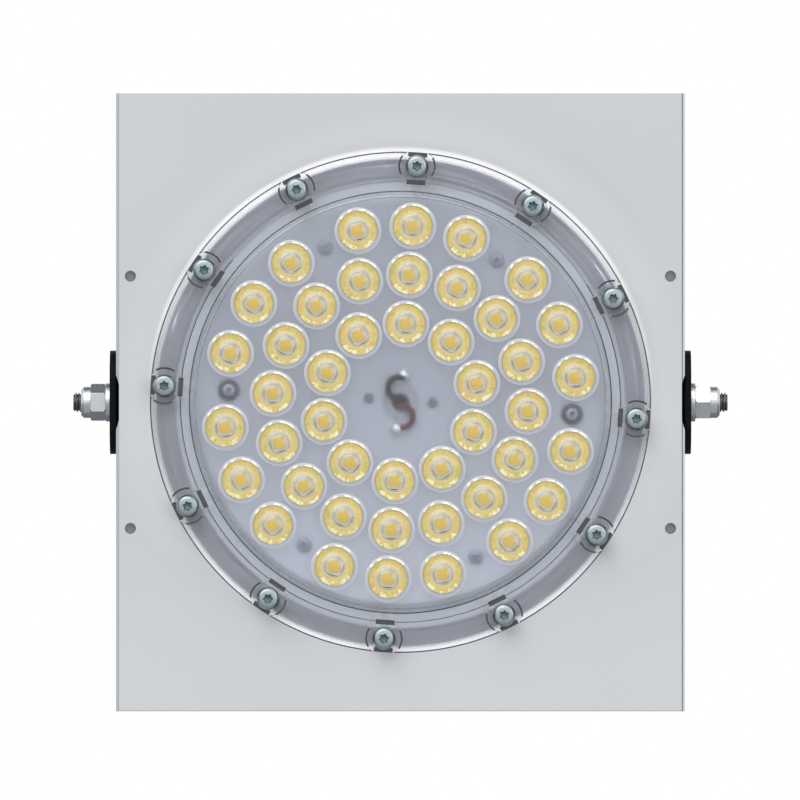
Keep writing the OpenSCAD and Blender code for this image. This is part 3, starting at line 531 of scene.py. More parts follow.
def yellow_ring(colour):
    """The ring under a dome, painted as the yellow light caught there: glossy and uneven, pale inside and dim
    outside, with painted sparkles.
    """
    material, tree, bsdf = blank_material("Yellow Ring")
    skin = place_group(tree, grain_group(), Grain=1100.0, Cloud=620.0)
    patches = tree.nodes.new("ShaderNodeValToRGB")
    stops = ((0.38, shade(228, 212, 96)), (0.5, colour), (0.62, shade(250, 211, 112)))
    patches.color_ramp.elements.new(0.5)
    for element, (place, patch) in zip(patches.color_ramp.elements, stops):
        element.position = place
        element.color = (*patch, 1)
    set_inputs(patches, {"Fac": skin["Cloudiness"]})
    set_inputs(bsdf, {
        "Base Color": patches.outputs["Color"], "Roughness": 0.16, "Specular IOR Level": 0.9})
    reach = stored_value(tree, "reach")
    lay_over(bsdf, between(reach, 0, 0.25, 0.7, 0), shade(240, 234, 206))
    lay_over(bsdf, between(reach, 0.45, 0.8, 0, 0.8), shade(182, 166, 82))
    # Painted sparkles on the ring
    lights = place_group(tree, glint_group(), Low=0.42, High=0.56)
    lay_over(bsdf, lights["Mask"], shade(250, 240, 184), 0.25)
    add_bump(bsdf, skin["Height"], 0.7, 0.12 * MM)
    pass_lamps(bsdf, (0.95, 0.93, 0.88))
    return material


def gasket_painted_streaks(colour):
    """The gasket's rubber, with painted reflections: round it run the fine light and dark streaks of the
    clear rim above it.
    """
    material, tree, bsdf = blank_material("Grey Gasket")
    streaks = place_group(tree, ring_streak_group(), Lines=420.0, Turns=2.2)["Streaks"]
    vary_colour(bsdf, between(streaks, 0.3, 0.7), tinted(colour, 0.78), tinted(colour, 1.28))
    # Painted highlights: thin pale lines along the streaks
    lay_over(bsdf, between(streaks, 0.66, 0.7), shade(232, 232, 236))
    set_inputs(bsdf, {"Roughness": 0.45})
    return material


def shared(name, make, colour, roughness):
    """A material that several pieces use, made the first time."""
    return bpy.data.materials.get(name) or make(name, colour, roughness)


def body_paint():
    return shared("Light Grey Powder Coat", painted, bpy.context.scene.floodlight_colours.paint, 0.5)


def face_paint():
    """The body's paint, with painted light for what the clear cover throws on it and round itself, and
    painted shade in the accessory holes.
    """
    material = painted("Light Grey Face Paint", bpy.context.scene.floodlight_colours.paint, 0.5)
    tree, bsdf = nodes_of(material)
    x, y, z = object_axes(tree)
    far_x, far_z = [add_math("ABSOLUTE", axis) for axis in (x, z)]
    reach = flat_reach(x, z)
    under_cover = add_math("LESS_THAN", reach, COVER_R)
    outside = add_math("GREATER_THAN", reach, COVER_R)
    # Painted light: a lift low on the face, and a glow under and round the cover's rim
    light = between(z, *LOW_LIGHT_Z, 0.0, LOW_LIGHT)
    for across, where, height, limits, most in (
        (RIM_LIGHT_R, under_cover, far_z, RIM_LIGHT_Z, 1.0),
        (EDGE_LIGHT_R, outside, z, EDGE_LIGHT_Z, 1.0),
        (WIDE_LIGHT_R, outside, z, WIDE_LIGHT_Z, WIDE_LIGHT),
    ):
        share = multiply(between(reach, *across, 0.0, most), where, between(height, *limits))
        light = add_math("MAXIMUM", light, share)
    front = between(y, FACE_Y + 2.0 * MM, FACE_Y + 1.0 * MM)
    lay_over(bsdf, multiply(light, front), (1, 1, 1), 0.2)
    # Painted shade: the inside of each accessory hole is darker
    hole_x = add_math("SUBTRACT", far_x, HOLE_X)
    hole_z = add_math("SUBTRACT", far_z, HOLE_Z)
    painted_hole_shade = add_math("LESS_THAN", flat_reach(hole_x, hole_z), HOLE_R)
    behind_face = add_math("GREATER_THAN", y, FACE_Y + 0.3 * MM)
    lay_over(bsdf, multiply(painted_hole_shade, behind_face), shade(176, 176, 179))
    return material


def side_paint():
    """The side plates' paint: the left plate's front edge is dimmer, a painted shade, with a dark joint on
    the right.
    """
    material = painted("Side Plate Paint", bpy.context.scene.floodlight_colours.paint, 0.5)
    tree, bsdf = nodes_of(material)
    x, y, _ = object_axes(tree)
    front = add_math("LESS_THAN", y, FACE_Y + 0.8 * MM)
    left = add_math("LESS_THAN", x, 0.0)
    joint = add_math("LESS_THAN", add_math("ABSOLUTE", x), SIDE_JOINT_X)
    right_joint = add_math("SUBTRACT", joint, left)
    # Painted shade on the left plate's front edge
    lay_over(bsdf, multiply(front, left), shade(184, 186, 190))
    lay_over(bsdf, multiply(front, right_joint), shade(96, 96, 100))
    return material


def zinc():
    return shared("Bright Zinc", metal, bpy.context.scene.floodlight_colours.zinc, 0.27)


def black_nylon():
    return shared("Black Nylon", moulded, bpy.context.scene.floodlight_colours.rubber, 0.5)


def dark_rubber():
    return shared("Dark Rubber", moulded, tinted(bpy.context.scene.floodlight_colours.rubber, 1.4), 0.7)


# Shapes


def module_place():
    """The module's axes: +X and +Y across the face, +Z out of it towards the viewer."""
    return (
        Matrix.Translation((0, FACE_Y, 0))
        @ Matrix.Rotation(QUARTER, 4, "X")
        @ Matrix.Rotation(-MODULE_TURN, 4, "Z")
    )


def emitter_places():
    """The radius and angle of each emitter in the module's axes."""
    places = [
        (OUTER_R, QUARTER - group * math.tau / OUTER_GROUPS + side * OUTER_GAP)
        for group in range(OUTER_GROUPS) for side in (-1, 0, 1)
    ]
    for radius, count in ((MIDDLE_R, MIDDLE_COUNT), (INNER_R, INNER_COUNT)):
        places += [(radius, QUARTER - k * math.tau / count) for k in range(count)]
    return places


def curve(start, corner, end, share):
    """A place on the curve that rounds a corner, from its start to its end."""
    return start * (1 - share) ** 2 + corner * 2 * share * (1 - share) + end * share ** 2


def rounded_outline(points, radii, steps=5):
    """Rounds the corners of an open line of points, the radii given in millimetres."""
    line = [Vector(points[0])]
    for before, corner, after, radius in zip(points, points[1:], points[2:], radii[1:]):
        corner = Vector(corner)
        if radius <= 0:
            line.append(corner)
            continue
        before, after = Vector(before) - corner, Vector(after) - corner
        half = before.angle(after) / 2
        run = min(radius * MM / math.tan(half), before.length * 0.49, after.length * 0.49)
        start = corner + before.normalized() * run
        end = corner + after.normalized() * run
        line += [curve(start, corner, end, step / steps) for step in range(steps + 1)]
    return line + [Vector(points[-1])]


def turns(count):
    """Equal angles round one turn."""
    return [math.tau * k / count for k in range(count)]


def circle_outline(radius, count=32):
    return [(radius * math.cos(turn), radius * math.sin(turn)) for turn in turns(count)]


def neighbours(ring):
    """Each member of a ring with the one after it."""
    return zip(ring, ring[1:] + ring[:1])


def turned_ring(bm, radius, height, count, centre=(0, 0, 0)):
    return [
        bm.verts.new((centre[0] + x, centre[1] + y, height)) for x, y in circle_outline(radius, count)]


def join_rings(bm, lower, upper, material=0):
    """Closes the band between two rings of vertices and returns its faces."""
    faces = []
    for (a, b), (d, c) in zip(neighbours(lower), neighbours(upper)):
        face = bm.faces.new((a, b, c, d))
        face.material_index = material
        faces.append(face)
    return faces


def revolve(line):
    """Turns a closed line of (radius, height) round +Z."""
    bm = bmesh.new()
    rings = [turned_ring(bm, radius, height, RING_SIDES) for radius, height in line]
    for lower, upper in neighbours(rings):
        join_rings(bm, lower, upper)
    return close_mesh(bm)


def cover_ring_mesh():
    """The cover outside its lens plate: step, low band, raised rim and lip."""
    outline = [
        (PLATE_R, LENS_UNDER), (WELL_R, LENS_UNDER), (WELL_R, GASKET_T),
        (COVER_R - LIP_W, GASKET_T), (COVER_R - LIP_W, LIP_CLEAR), (COVER_R, LIP_CLEAR),
        (COVER_R, RIM_H), (RIM_IN_R, RIM_H), (RIM_IN_R, BAND_H), (BAND_IN_R, BAND_H),
        (BAND_IN_R - 0.42 * MM, BAND_H + 0.35 * MM), (SHADED_R, LENS_TOP - 0.65 * MM),
        (STEP_LINE_R, LENS_TOP - 0.5 * MM), (PLATE_R + 0.42 * MM, LENS_TOP - 0.4 * MM), (PLATE_R, LENS_TOP),
    ]
    corners = [0, 0, 0.25, 0.25, 0.1, 0.2, 0.9, 0.8, 0.35, 0.15, 0.1, 0, 0, 0.1, 0]
    return revolve(rounded_outline(outline, corners))


def pocket_outline(grow):
    """A pocket seen from the front, its slot open outwards, grown on all sides."""
    radius, half = POCKET_R + grow, POCKET_SLOT + grow
    reach = math.asin(half / radius)
    steps = 18
    outline = [(3 * POCKET_R, half)]
    for k in range(steps + 1):
        angle = reach + (math.pi - 2 * reach) * k / steps
        outline.append((radius * math.cos(angle), radius * math.sin(angle)))
    outline.append((-radius, half))
    return outline + [(x, -y) for x, y in reversed(outline)]


def loft(bm, place, levels):
    """Closes a shape over outlines of equal length, each at its own height, and returns its faces."""
    rings = [[bm.verts.new(place @ Vector((x, y, height))) for x, y in points] for points, height in levels]
    faces = [bm.faces.new(rings[0]), bm.faces.new(rings[-1])]
    for lower, upper in zip(rings, rings[1:]):
        faces += join_rings(bm, lower, upper)
    return faces


def prism(bm, place, outline, low, high):
    return loft(bm, place, [(outline, low), (outline, high)])


def screw_turns():
    """Where the cover's screws stand, each with its own +X pointing outwards."""
    for k in range(SCREW_COUNT):
        yield (
            Matrix.Rotation(QUARTER - k * math.tau / SCREW_COUNT, 4, "Z")
            @ Matrix.Translation((SCREW_CIRCLE_R, 0, 0))
        )


def box_outline(left, right, half):
    return [(left, -half), (right, -half), (right, half), (left, half)]


def pocket_mesh():
    """What each screw's pocket takes out of the rim, with its steps and rounded edges."""
    edge, floor_edge = POCKET_EDGE, 0.6 * POCKET_EDGE
    walls = [(pocket_outline(grow), height) for grow, height in (
        (-floor_edge, POCKET_LEDGE), (-0.3 * floor_edge, POCKET_LEDGE + 0.3 * floor_edge),
        (0, POCKET_LEDGE + floor_edge), (0, RIM_H - edge), (0.3 * edge, RIM_H - 0.3 * edge),
        (edge, RIM_H), (2 * edge, RIM_H + edge),
    )]
    slot_floor = POCKET_FLOOR - (POCKET_LEDGE - POCKET_FLOOR)
    ends = (
        box_outline(POCKET_OUTER_END, 3 * POCKET_R, POCKET_SLOT - 0.1 * edge),
        box_outline(-POCKET_R - edge, -POCKET_INNER_END, POCKET_SLOT - 0.3 * edge),
    )
    bm = bmesh.new()
    for turn in screw_turns():
        loft(bm, turn, walls)
        prism(bm, turn, circle_outline(SCREW_HOLE_R), -RIM_H, 1.2 * POCKET_FLOOR)
        prism(bm, turn, circle_outline(POCKET_SEAT_R, 64), POCKET_FLOOR, RIM_H - edge)
        for end in ends:
            prism(bm, turn, end, slot_floor, RIM_H - edge)
    return close_mesh(bm)


def near_pocket_edge(place, steep):
    """Whether a place on the cover lies on a pocket's wall, seat edge or slot end."""
    angle = math.atan2(place.y, place.x) - QUARTER
    pitch = math.tau / SCREW_COUNT
    angle -= pitch * round(angle / pitch)
    radius = place.xy.length
    x = radius * math.cos(angle) - SCREW_CIRCLE_R
    y = radius * math.sin(angle)
    reach = math.hypot(x, y)
    low = place.z < POCKET_LEDGE - TINY
    high = place.z > POCKET_LEDGE + TINY
    on_wall = high and steep and abs(reach - POCKET_R) < POCKET_EDGE and abs(x) < 0.5 * POCKET_R
    on_seat = abs(reach - POCKET_SEAT_R) < 0.06 * MM and abs(y) > 0.5 * POCKET_SEAT_R and low
    in_slot = abs(y) < POCKET_SLOT and POCKET_FLOOR - 0.5 * MM < place.z and low
    on_outer_end = in_slot and POCKET_OUTER_END < x
    on_inner_end = in_slot and x < -POCKET_INNER_END
    return on_wall or on_seat or on_outer_end or on_inner_end


def mark_cover_faces(bm):
    """Marks the frosted underside, the step tinted as painted shade, and the fine dark lines of painted
    shade.
    """
    fine = 0.45 * MM
    bm.normal_update()
    for face in bm.faces:
        centre = face.calc_center_median()
        radius = centre.xy.length
        if WELL_R < radius < GASKET_IN_R and centre.z < GASKET_T + 0.1 * MM:
            face.material_index = FROSTED
        upper = centre.z > POCKET_FLOOR - 0.6 * MM
        on_step = BAND_IN_R - 1.1 * fine < radius < BAND_IN_R + 0.6 * fine
        if upper and PLATE_R < radius < BAND_IN_R and (radius < STEP_LINE_R - fine or radius > STEP_LINE_R):
            face.material_index = SHADED
        on_rim = abs(radius - RIM_IN_R) < 0.3 * fine and centre.z > BAND_H + 0.05 * MM
        on_rim = on_rim and centre.y < 0.6 * radius
        steep = face.normal.z < 0.95
        on_lip = radius > COVER_R - 1.2 * fine and 0.2 < face.normal.z < 0.99
        if upper and (on_step or on_rim or on_lip or near_pocket_edge(centre, steep)):
            face.material_index = PAINTED_SHADE_LINES


def cut(mesh, cutter_mesh):
    """Takes one mesh out of another."""
    body, cutter = [link(bpy.data.objects.new("cut", shape)) for shape in (mesh, cutter_mesh)]
    boolean = body.modifiers.new("Pockets", "BOOLEAN")
    boolean.operation = "DIFFERENCE"
    boolean.solver = "EXACT"
    boolean.use_self = True
    boolean.object = cutter
    bpy.context.view_layer.update()
    result = bpy.data.meshes.new_from_object(body.evaluated_get(bpy.context.evaluated_depsgraph_get()))
    for obj in (body, cutter):
        bpy.data.objects.remove(obj)
    return result


def package_mesh():
    """The emitters' white packages, each with a thin dark sheet below it as its painted shadow: 0 package, 1
    shadow.
    """
    bm = bmesh.new()
    shift = Matrix.Translation(Matrix.Rotation(MODULE_TURN, 4, "Z") @ Vector((0, -PACKAGE_SHADOW_SHIFT, 0)))
    for radius, angle in emitter_places():
        stand = Matrix.Rotation(angle, 4, "Z") @ Matrix.Translation((radius, 0, BOARD_TOP))
        for place, width, height, material in (
            (stand, PACKAGE_W, PACKAGE_T, 0),
            (shift @ stand, PACKAGE_SHADOW_W, PACKAGE_SHADOW_T, 1),
        ):
            for face in prism(bm, place, box_outline(-width / 2, width / 2, width / 2), 0, height):
                face.material_index = material
    mesh = close_mesh(bm)
    mesh.transform(module_place())
    return mesh


def gasket_mesh():
    """The rubber ring under the rim, with two fine grooves and a hole for each screw."""
    top = GASKET_T - 0.04 * MM
    groove_w, groove_t = 0.5 * MM, 0.12 * MM
    outline = [(GASKET_IN_R, 0.02 * MM), (GASKET_IN_R, top)]
    corners = [0.05, 0.25]
    for share in (0.24, 0.74):
        middle = GASKET_IN_R + share * (GASKET_OUT_R - GASKET_IN_R)
        outline += [(middle - groove_w, top), (middle, top - groove_t), (middle + groove_w, top)]
        corners += [0.2, 0.15, 0.2]
    outline += [(GASKET_OUT_R, top), (GASKET_OUT_R, 0.02 * MM)]
    corners += [0.25, 0.05]
    ring = revolve(rounded_outline(outline, corners, 3))
    bm = bmesh.new()
    for turn in screw_turns():
        prism(bm, turn, circle_outline(GASKET_HOLE_R), -GASKET_T, 2 * GASKET_T)
    mesh = cut(ring, close_mesh(bm))
    mesh.transform(module_place())
    shade_smooth(mesh, 40)
    return mesh


def lobed_outline(radius):
    """A six-lobed outline whose lobes reach the radius."""
    shares = [1 - RECESS_LOBE + RECESS_LOBE * math.cos(6 * turn) for turn in turns(SCREW_STEPS)]
    return [(x * share, y * share) for share, (x, y) in zip(shares, circle_outline(radius, SCREW_STEPS))]


def add_screw(bm, place, size):
    """A pan-head screw, its seat at the place's origin: 0 outside, 1 the bottom of its recess."""
    head_r, head_h, shank_r, length = size
    plain = [
        (0.7 * shank_r, -length), (shank_r, -length + 0.5 * shank_r), (shank_r, 0),
        (0.95 * head_r, 0), (head_r, 0.06 * head_h), (head_r, 0.3 * head_h),
    ]
    waist_r, waist_h = 0.6 * head_r, 0.3 * head_h
    for k in range(1, 9):
        angle = QUARTER * k / 8
        plain.append((
            waist_r + (head_r - waist_r) * math.cos(angle),
            waist_h + 0.67 * head_h * math.sin(angle)))
    levels = [(circle_outline(radius, SCREW_STEPS), height) for radius, height in plain]
    levels += [(lobed_outline(share * 0.42 * head_r), height * head_h) for share, height in RECESS_LINE]
    faces = loft(bm, place, levels)
    for face in faces[1:2] + faces[-2 * SCREW_STEPS:]:
        face.material_index = 1


def screws_piece(node, places, size, material, dark=None):
    """Builds like screws as one piece, each turned by its own angle."""
    bm = bmesh.new()
    for index, place in enumerate(places):
        add_screw(bm, place @ Matrix.Rotation(index * SCREW_TURN, 4, "Z"), size)
    even_shading(new_piece(node, close_mesh(bm, 38), [material, dark or material]))


def back_place(x, y, z):
    """A place on the back, its +Z pointing away from the light face."""
    return Matrix.Translation((x, y, z)) @ Matrix.Rotation(-QUARTER, 4, "X")


def dome_line():
    """The dome's outside: a flared foot, a steep side, and a flatter cap."""
    sphere_r = (DOME_R ** 2 + DOME_H ** 2) / (2 * DOME_H)
    middle = LENS_TOP + DOME_H - sphere_r
    shoulder = math.asin(DOME_SHOULDER_R / sphere_r)
    shoulder_h = middle + sphere_r * math.cos(shoulder)
    waist_h = LENS_TOP + DOME_WAIST_H
    line = [
        (DOME_R + 0.25 * MM, LENS_TOP), (DOME_R + 0.05 * MM, LENS_TOP + 0.12 * MM),
        (DOME_WAIST_R + 0.4 * MM, LENS_TOP + 0.62 * DOME_WAIST_H), (DOME_WAIST_R, waist_h),
    ]
    side_steps, cap_steps = 5, 9
    out, down = math.cos(shoulder), -math.sin(shoulder)
    reach = 0.6 * (DOME_WAIST_R - DOME_SHOULDER_R) / out
    knee = (DOME_SHOULDER_R + reach * out, shoulder_h + reach * down)
    for k in range(1, side_steps):
        ends = zip((DOME_WAIST_R, waist_h), knee, (DOME_SHOULDER_R, shoulder_h))
        line.append(tuple(curve(*values, k / side_steps) for values in ends))
    for k in range(cap_steps):
        angle = shoulder * (1 - k / cap_steps)
        line.append((sphere_r * math.sin(angle), middle + sphere_r * math.cos(angle)))
    return line, LENS_TOP + DOME_H


def arc_share(angle, arcs):
    """1 inside one of the arcs, falling to 0 in a few degrees beyond its ends."""
    return max(0.0, *(min(1.0, 1 + min(angle - low, high - angle) / ARC_FADE) for low, high in arcs))


def paint_arcs(ring, layer, centre, arcs):
    """Stores the painted highlights on a ring of vertices round a dome."""
    for vert in ring:
        away = vert.co.xy - centre.xy
        angle = math.degrees(math.atan2(away.y, away.x) - MODULE_TURN) % 360
        vert[layer] = arc_share(angle, arcs)


def hollow_line():
    """The hollow's inside from its mouth to the middle of its roof."""
    middle = LENS_UNDER + HOLLOW_H - HOLLOW_ROOF_R
    edge = math.asin(HOLLOW_R / HOLLOW_ROOF_R)
    shoulder = middle + HOLLOW_ROOF_R * math.cos(edge)
    line = [(HOLLOW_R, LENS_UNDER), (HOLLOW_R, (LENS_UNDER + shoulder) / 2), (HOLLOW_R, shoulder - 0.1 * MM)]
    steps = 8
    for k in range(1, steps):
        angle = edge * (1 - k / steps)
        line.append((HOLLOW_ROOF_R * math.sin(angle), middle + HOLLOW_ROOF_R * math.cos(angle)))
    return line, LENS_UNDER + HOLLOW_H


def raise_shell(bm, centre, line, top, foot_rows=0):
    """Stands a turned shell on a ring of new vertices and closes it at its top."""
    rings = [turned_ring(bm, radius, height, DOME_STEPS, centre) for radius, height in line]
    for row, (lower, upper) in enumerate(zip(rings, rings[1:])):
        join_rings(bm, lower, upper, FEET if row < foot_rows else CLEAR)
    tip = bm.verts.new((centre.x, centre.y, top))
    for a, b in neighbours(rings[-1]):
        bm.faces.new((a, b, tip))
    return rings


def loop_edges(bm, ring):
    return [bm.edges.get(pair) or bm.edges.new(pair) for pair in neighbours(ring)]


def lens_cover_mesh(ring_reach):
    """The clear cover as one closed shell, its faces marked with the cover's materials."""
    bm = bmesh.new()
    bm.from_mesh(cut(cover_ring_mesh(), pocket_mesh()))
    bmesh.ops.remove_doubles(bm, verts=bm.verts, dist=FINE_WELD)
    inner = [face for face in bm.faces if all(vert.co.xy.length < PLATE_R + TINY for vert in face.verts)]
    bmesh.ops.delete(bm, geom=inner, context="FACES")
    mark_cover_faces(bm)
    open_edges = [edge for edge in bm.edges if edge.is_boundary]
    top_edges = [e for e in open_edges if min(v.co.z for v in e.verts) > LENS_TOP - TINY]
    under_edges = [e for e in open_edges if max(v.co.z for v in e.verts) < LENS_UNDER + TINY]
    reach_layer = bm.verts.layers.float.new("reach")
    glint_layer = bm.verts.layers.float.new("glint")
    for radius, angle in emitter_places():
        centre = Vector((radius * math.cos(angle), radius * math.sin(angle), 0))
        dome = raise_shell(bm, centre, *dome_line(), 3)
        paint_arcs(dome[2], glint_layer, centre, FOOT_ARCS)
        for vert in dome[0] + dome[1]:
            vert[reach_layer] = 1.0
        top_edges += loop_edges(bm, dome[0])
        inner_ring = raise_shell(bm, centre, *hollow_line())[0]
        for step in range(1, RING_STEPS + 1):
            share = step / RING_STEPS
            outer_r = HOLLOW_R + share * (ring_reach - HOLLOW_R)
            outer_ring = turned_ring(bm, outer_r, LENS_UNDER, DOME_STEPS, centre)
            for vert in outer_ring:
                vert[reach_layer] = share
            if step < RING_STEPS:
                paint_arcs(outer_ring, glint_layer, centre, RING_ARCS)
            join_rings(bm, inner_ring, outer_ring, RINGS)
            inner_ring = outer_ring
        under_edges += loop_edges(bm, inner_ring)
    bmesh.ops.triangle_fill(bm, edges=top_edges, use_beauty=True, normal=(0, 0, 1))
    under_fill = bmesh.ops.triangle_fill(bm, edges=under_edges, use_beauty=True, normal=(0, 0, -1))
    for face in under_fill["geom"]:
        if isinstance(face, bmesh.types.BMFace):
            face.material_index = FROSTED
    mesh = close_mesh(bm)
    mesh.transform(module_place())
    shade_smooth(mesh, 32)
    return mesh


def thread_cut(along, pitch, depth):
    """How far a thread is cut in at a place along it."""
    share = (along / pitch) % 1.0
    if share < THREAD_CREST:
        return 0.0
    run = (share - THREAD_CREST) / (1 - THREAD_CREST)
    return depth * (1 - abs(2 * run - 1)) ** 0.85


def add_stud(bm, side, pitch, depth):
    """One pivot stud along the tilt axis, threaded where it shows past its nut."""
    thread_start = COLLAR_X - 2 * pitch
    span = STUD_TIP_X - thread_start
    stations = [STUD_IN_X, (STUD_IN_X + thread_start) / 2, thread_start - 0.2 * MM]
    stations += [thread_start + span * k / THREAD_ROWS for k in range(THREAD_ROWS + 1)]
    levels = []
    for x in stations:
        limit = STUD_R - max(0.0, x - (STUD_TIP_X - STUD_CHAMFER))
        outline = []
        for k, turn in enumerate(turns(STUD_SIDES)):
            along = x - thread_start + pitch * k / STUD_SIDES
            cut_in = thread_cut(along, pitch, depth) if x >= thread_start else 0.0
            radius = min(STUD_R - cut_in, limit)
            outline.append((radius * math.cos(turn), radius * math.sin(turn)))
        levels.append((outline, x))
    loft(bm, Matrix(((0, 0, side, 0), (1, 0, 0, PIVOT_Y), (0, 1, 0, 0), (0, 0, 0, 1))), levels)


def smooth_tube(node, material):
    """Rounds a lead's faceted solid with one subdivision."""
    bm = node_shape(node, FINE_WELD)
    bmesh.ops.join_triangles(
        bm, faces=bm.faces, angle_face_threshold=math.radians(20), angle_shape_threshold=math.radians(60))
    subdivision = new_piece(node, store_mesh(bm, 60), [material]).modifiers.new("Smooth", "SUBSURF")
    subdivision.levels = 1
    subdivision.render_levels = 1


# Operators: one for each piece or group of like pieces, and one for the stage


class FLOODLIGHT_OT_body(bpy.types.Operator):
    """Finish the finned body and its side plates"""
    bl_idname = "floodlight.body"
    bl_label = "Body and side plates"

    def execute(self, context):
        sizes = context.scene.floodlight_sizes
        finish_node("heat_sink", face_paint(), sizes.body_edge)
        finish_node("side_plates", side_paint(), sizes.body_edge / 2)
        finish_node("side_plate_screws", zinc(), sizes.metal_edge)
        return {"FINISHED"}


class FLOODLIGHT_OT_light_board(bpy.types.Operator):
    """Finish the light board with its emitters, screws, pins and pad"""
    bl_idname = "floodlight.light_board"
    bl_label = "Light board"

    def execute(self, context):
        colours = context.scene.floodlight_colours
        edge = context.scene.floodlight_sizes.metal_edge
        mask = painted("White Solder Mask", colours.board, 0.45, grain=2200.0, strength=0.08, spread=0.02)
        tree, bsdf = nodes_of(mask)
        # Painted light: the board grows lighter towards its lower half
        lay_over(bsdf, between(object_axes(tree)["Z"], *BOARD_PAINTED_LIGHT_Z), shade(210, 214, 222))
        finish_node("thermal_pad", moulded("Thermal Foil", shade(150, 152, 156), 0.6), 0)
        finish_node("light_board", mask, edge)
        package = moulded("White Package", colours.package, 0.4, spread=0.03)
        # Painted shadow: a thin dark sheet that shows below each package
        package_shadow = moulded("Painted Package Shadow", shade(20, 18, 24), 0.5)
        packages = new_piece("emitter_packages", package_mesh(), [package, package_shadow])
        bevel = packages.modifiers.new("Edges", "BEVEL")
        bevel.width = PACKAGE_EDGE
        bevel.segments = 2
        phosphor = moulded("Yellow Phosphor", colours.phosphor, 0.55, grain=4200.0, strength=0.2, spread=0.05)
        finish_node("emitter_phosphors", phosphor, edge / 2)
        places = []
        for k, angle in enumerate(turns(BOARD_SCREW_COUNT)):
            height = BOARD_TOP + (BOARD_WASHER_T if k % 3 == 0 else 0)
            turn = Matrix.Rotation(angle, 4, "Z")
            places.append(module_place() @ turn @ Matrix.Translation((BOARD_SCREW_R, 0, height)))
        screws_piece("board_screws", places, BOARD_SCREW, metal("Dull Steel", shade(158, 160, 170), 0.5))
        finish_node("board_washers", moulded("Grey Washer", shade(84, 85, 92), 0.6), edge / 2)
        finish_node("board_pins", metal("Dark Steel", shade(120, 122, 126), 0.4), edge)
        solder = metal("Solder", shade(222, 224, 226), 0.2, contrast=0.05)
        finish_node("solder_joints", solder, 0, angle=60)
        return {"FINISHED"}


class FLOODLIGHT_OT_leads(bpy.types.Operator):
    """Finish the two leads and the grommet that they go through"""
    bl_idname = "floodlight.leads"
    bl_label = "Leads and grommet"

    def execute(self, context):
        colours = context.scene.floodlight_colours
        edge = context.scene.floodlight_sizes.plastic_edge
        smooth_tube("black_lead", moulded("Black Insulation", colours.black_lead, 0.35))
        smooth_tube("red_lead", moulded("Red Insulation", colours.red_lead, 0.35))
        finish_node("lead_grommet", moulded("Grey Grommet", shade(172, 176, 182), 0.6), edge)
        return {"FINISHED"}


class FLOODLIGHT_OT_cover(bpy.types.Operator):
    """Build the clear lens cover and finish its gasket and screws"""
    bl_idname = "floodlight.cover"
    bl_label = "Lens cover, gasket and screws"

    def execute(self, context):
        colours = context.scene.floodlight_colours
        # Painted shade: fine dark lines along the cover's steps, rim, lip and pocket edges
        edges = moulded("Painted Shade Lines", shade(84, 85, 90), 0.6, spread=0.2)
        pass_lamps(nodes_of(edges)[1], (0.75, 0.75, 0.77))
        materials = [
            clear("Clear Plastic", (0.965, 0.97, 0.985), 0.03, 500.0, 0.02, (0.99, 0.99, 1.0)),
            clear("Frosted Plastic", (0.9, 0.93, 0.985), 0.72, 1500.0, 0.1, (0.73, 0.76, 0.81)),
            yellow_ring(colours.ring), painted_dome_foot(colours.painted_dome_foot), edges,
            clear("Shaded Plastic", (0.62, 0.64, 0.68), 0.1, 500.0, 0.0, (0.8, 0.8, 0.82)),
        ]
        mesh = lens_cover_mesh(context.scene.floodlight_sizes.ring_reach)
        even_shading(new_piece("lens_cover", mesh, materials))
        new_piece("cover_gasket", gasket_mesh(), [gasket_painted_streaks(colours.gasket)])
        floor = Matrix.Translation((0, 0, POCKET_FLOOR))
        blue_zinc = metal("Blue Zinc", colours.blue_zinc, 0.36)
        recess = metal("Recess Shade", shade(96, 116, 122), 0.35)
        places = [module_place() @ turn @ floor for turn in screw_turns()]
        screws_piece("cover_screw_set", places, COVER_SCREW, blue_zinc, recess)
        return {"FINISHED"}


class FLOODLIGHT_OT_driver(bpy.types.Operator):
    """Finish the driver case, its lid and what is inside"""
    bl_idname = "floodlight.driver"
    bl_label = "Driver case and driver"

    def execute(self, context):
        sizes = context.scene.floodlight_sizes
        for node in ("driver_case", "case_lid"):
            finish_node(node, body_paint(), sizes.casting_edge)
        places = [
            back_place(x * CASE_SCREW_X, CASE_SCREW_Y, z * CASE_SCREW_Z) for x in (-1, 1) for z in (-1, 1)]
        screws_piece("case_screws", places, CASE_SCREW, zinc())
        board = painted("Green Board", shade(38, 104, 68), 0.35, grain=1500.0, spread=0.08)
        tape = moulded("Winding Tape", shade(214, 176, 78), 0.4)
        sleeve = moulded("Capacitor Sleeve", shade(44, 52, 70), 0.3)
        copper = metal("Varnished Copper", shade(190, 112, 66), 0.3, stretch=0.05)
        green = moulded("Green Nylon", shade(54, 128, 84), 0.45)
        for node, slot, material, edge in (
            ("lid_screws", "zinc_steel", zinc(), sizes.metal_edge),
            ("lid_gasket", "dark_rubber", dark_rubber(), 0),
            ("driver_board", "green_board", board, sizes.metal_edge),
            ("driver_board_screws", "zinc_steel", zinc(), sizes.metal_edge),
            ("transformer", "winding_tape", tape, sizes.plastic_edge),
            ("capacitors", "capacitor_sleeve", sleeve, sizes.plastic_edge),
            ("choke", "copper_wire", copper, sizes.plastic_edge),
            ("terminal_block", "green_nylon", green, sizes.plastic_edge),
        ):
            finish_node(node, material, edge)
        return {"FINISHED"}


class FLOODLIGHT_OT_gland(bpy.types.Operator):
    """Finish the cable gland and the vent plug"""
    bl_idname = "floodlight.gland"
    bl_label = "Cable gland and vent"

    def execute(self, context):
        sizes = context.scene.floodlight_sizes
        for node in ("gland_body", "gland_locknut", "gland_cap", "vent_plug"):
            finish_node(node, black_nylon(), sizes.plastic_edge)
        finish_node("gland_seal", dark_rubber(), sizes.plastic_edge)
        return {"FINISHED"}


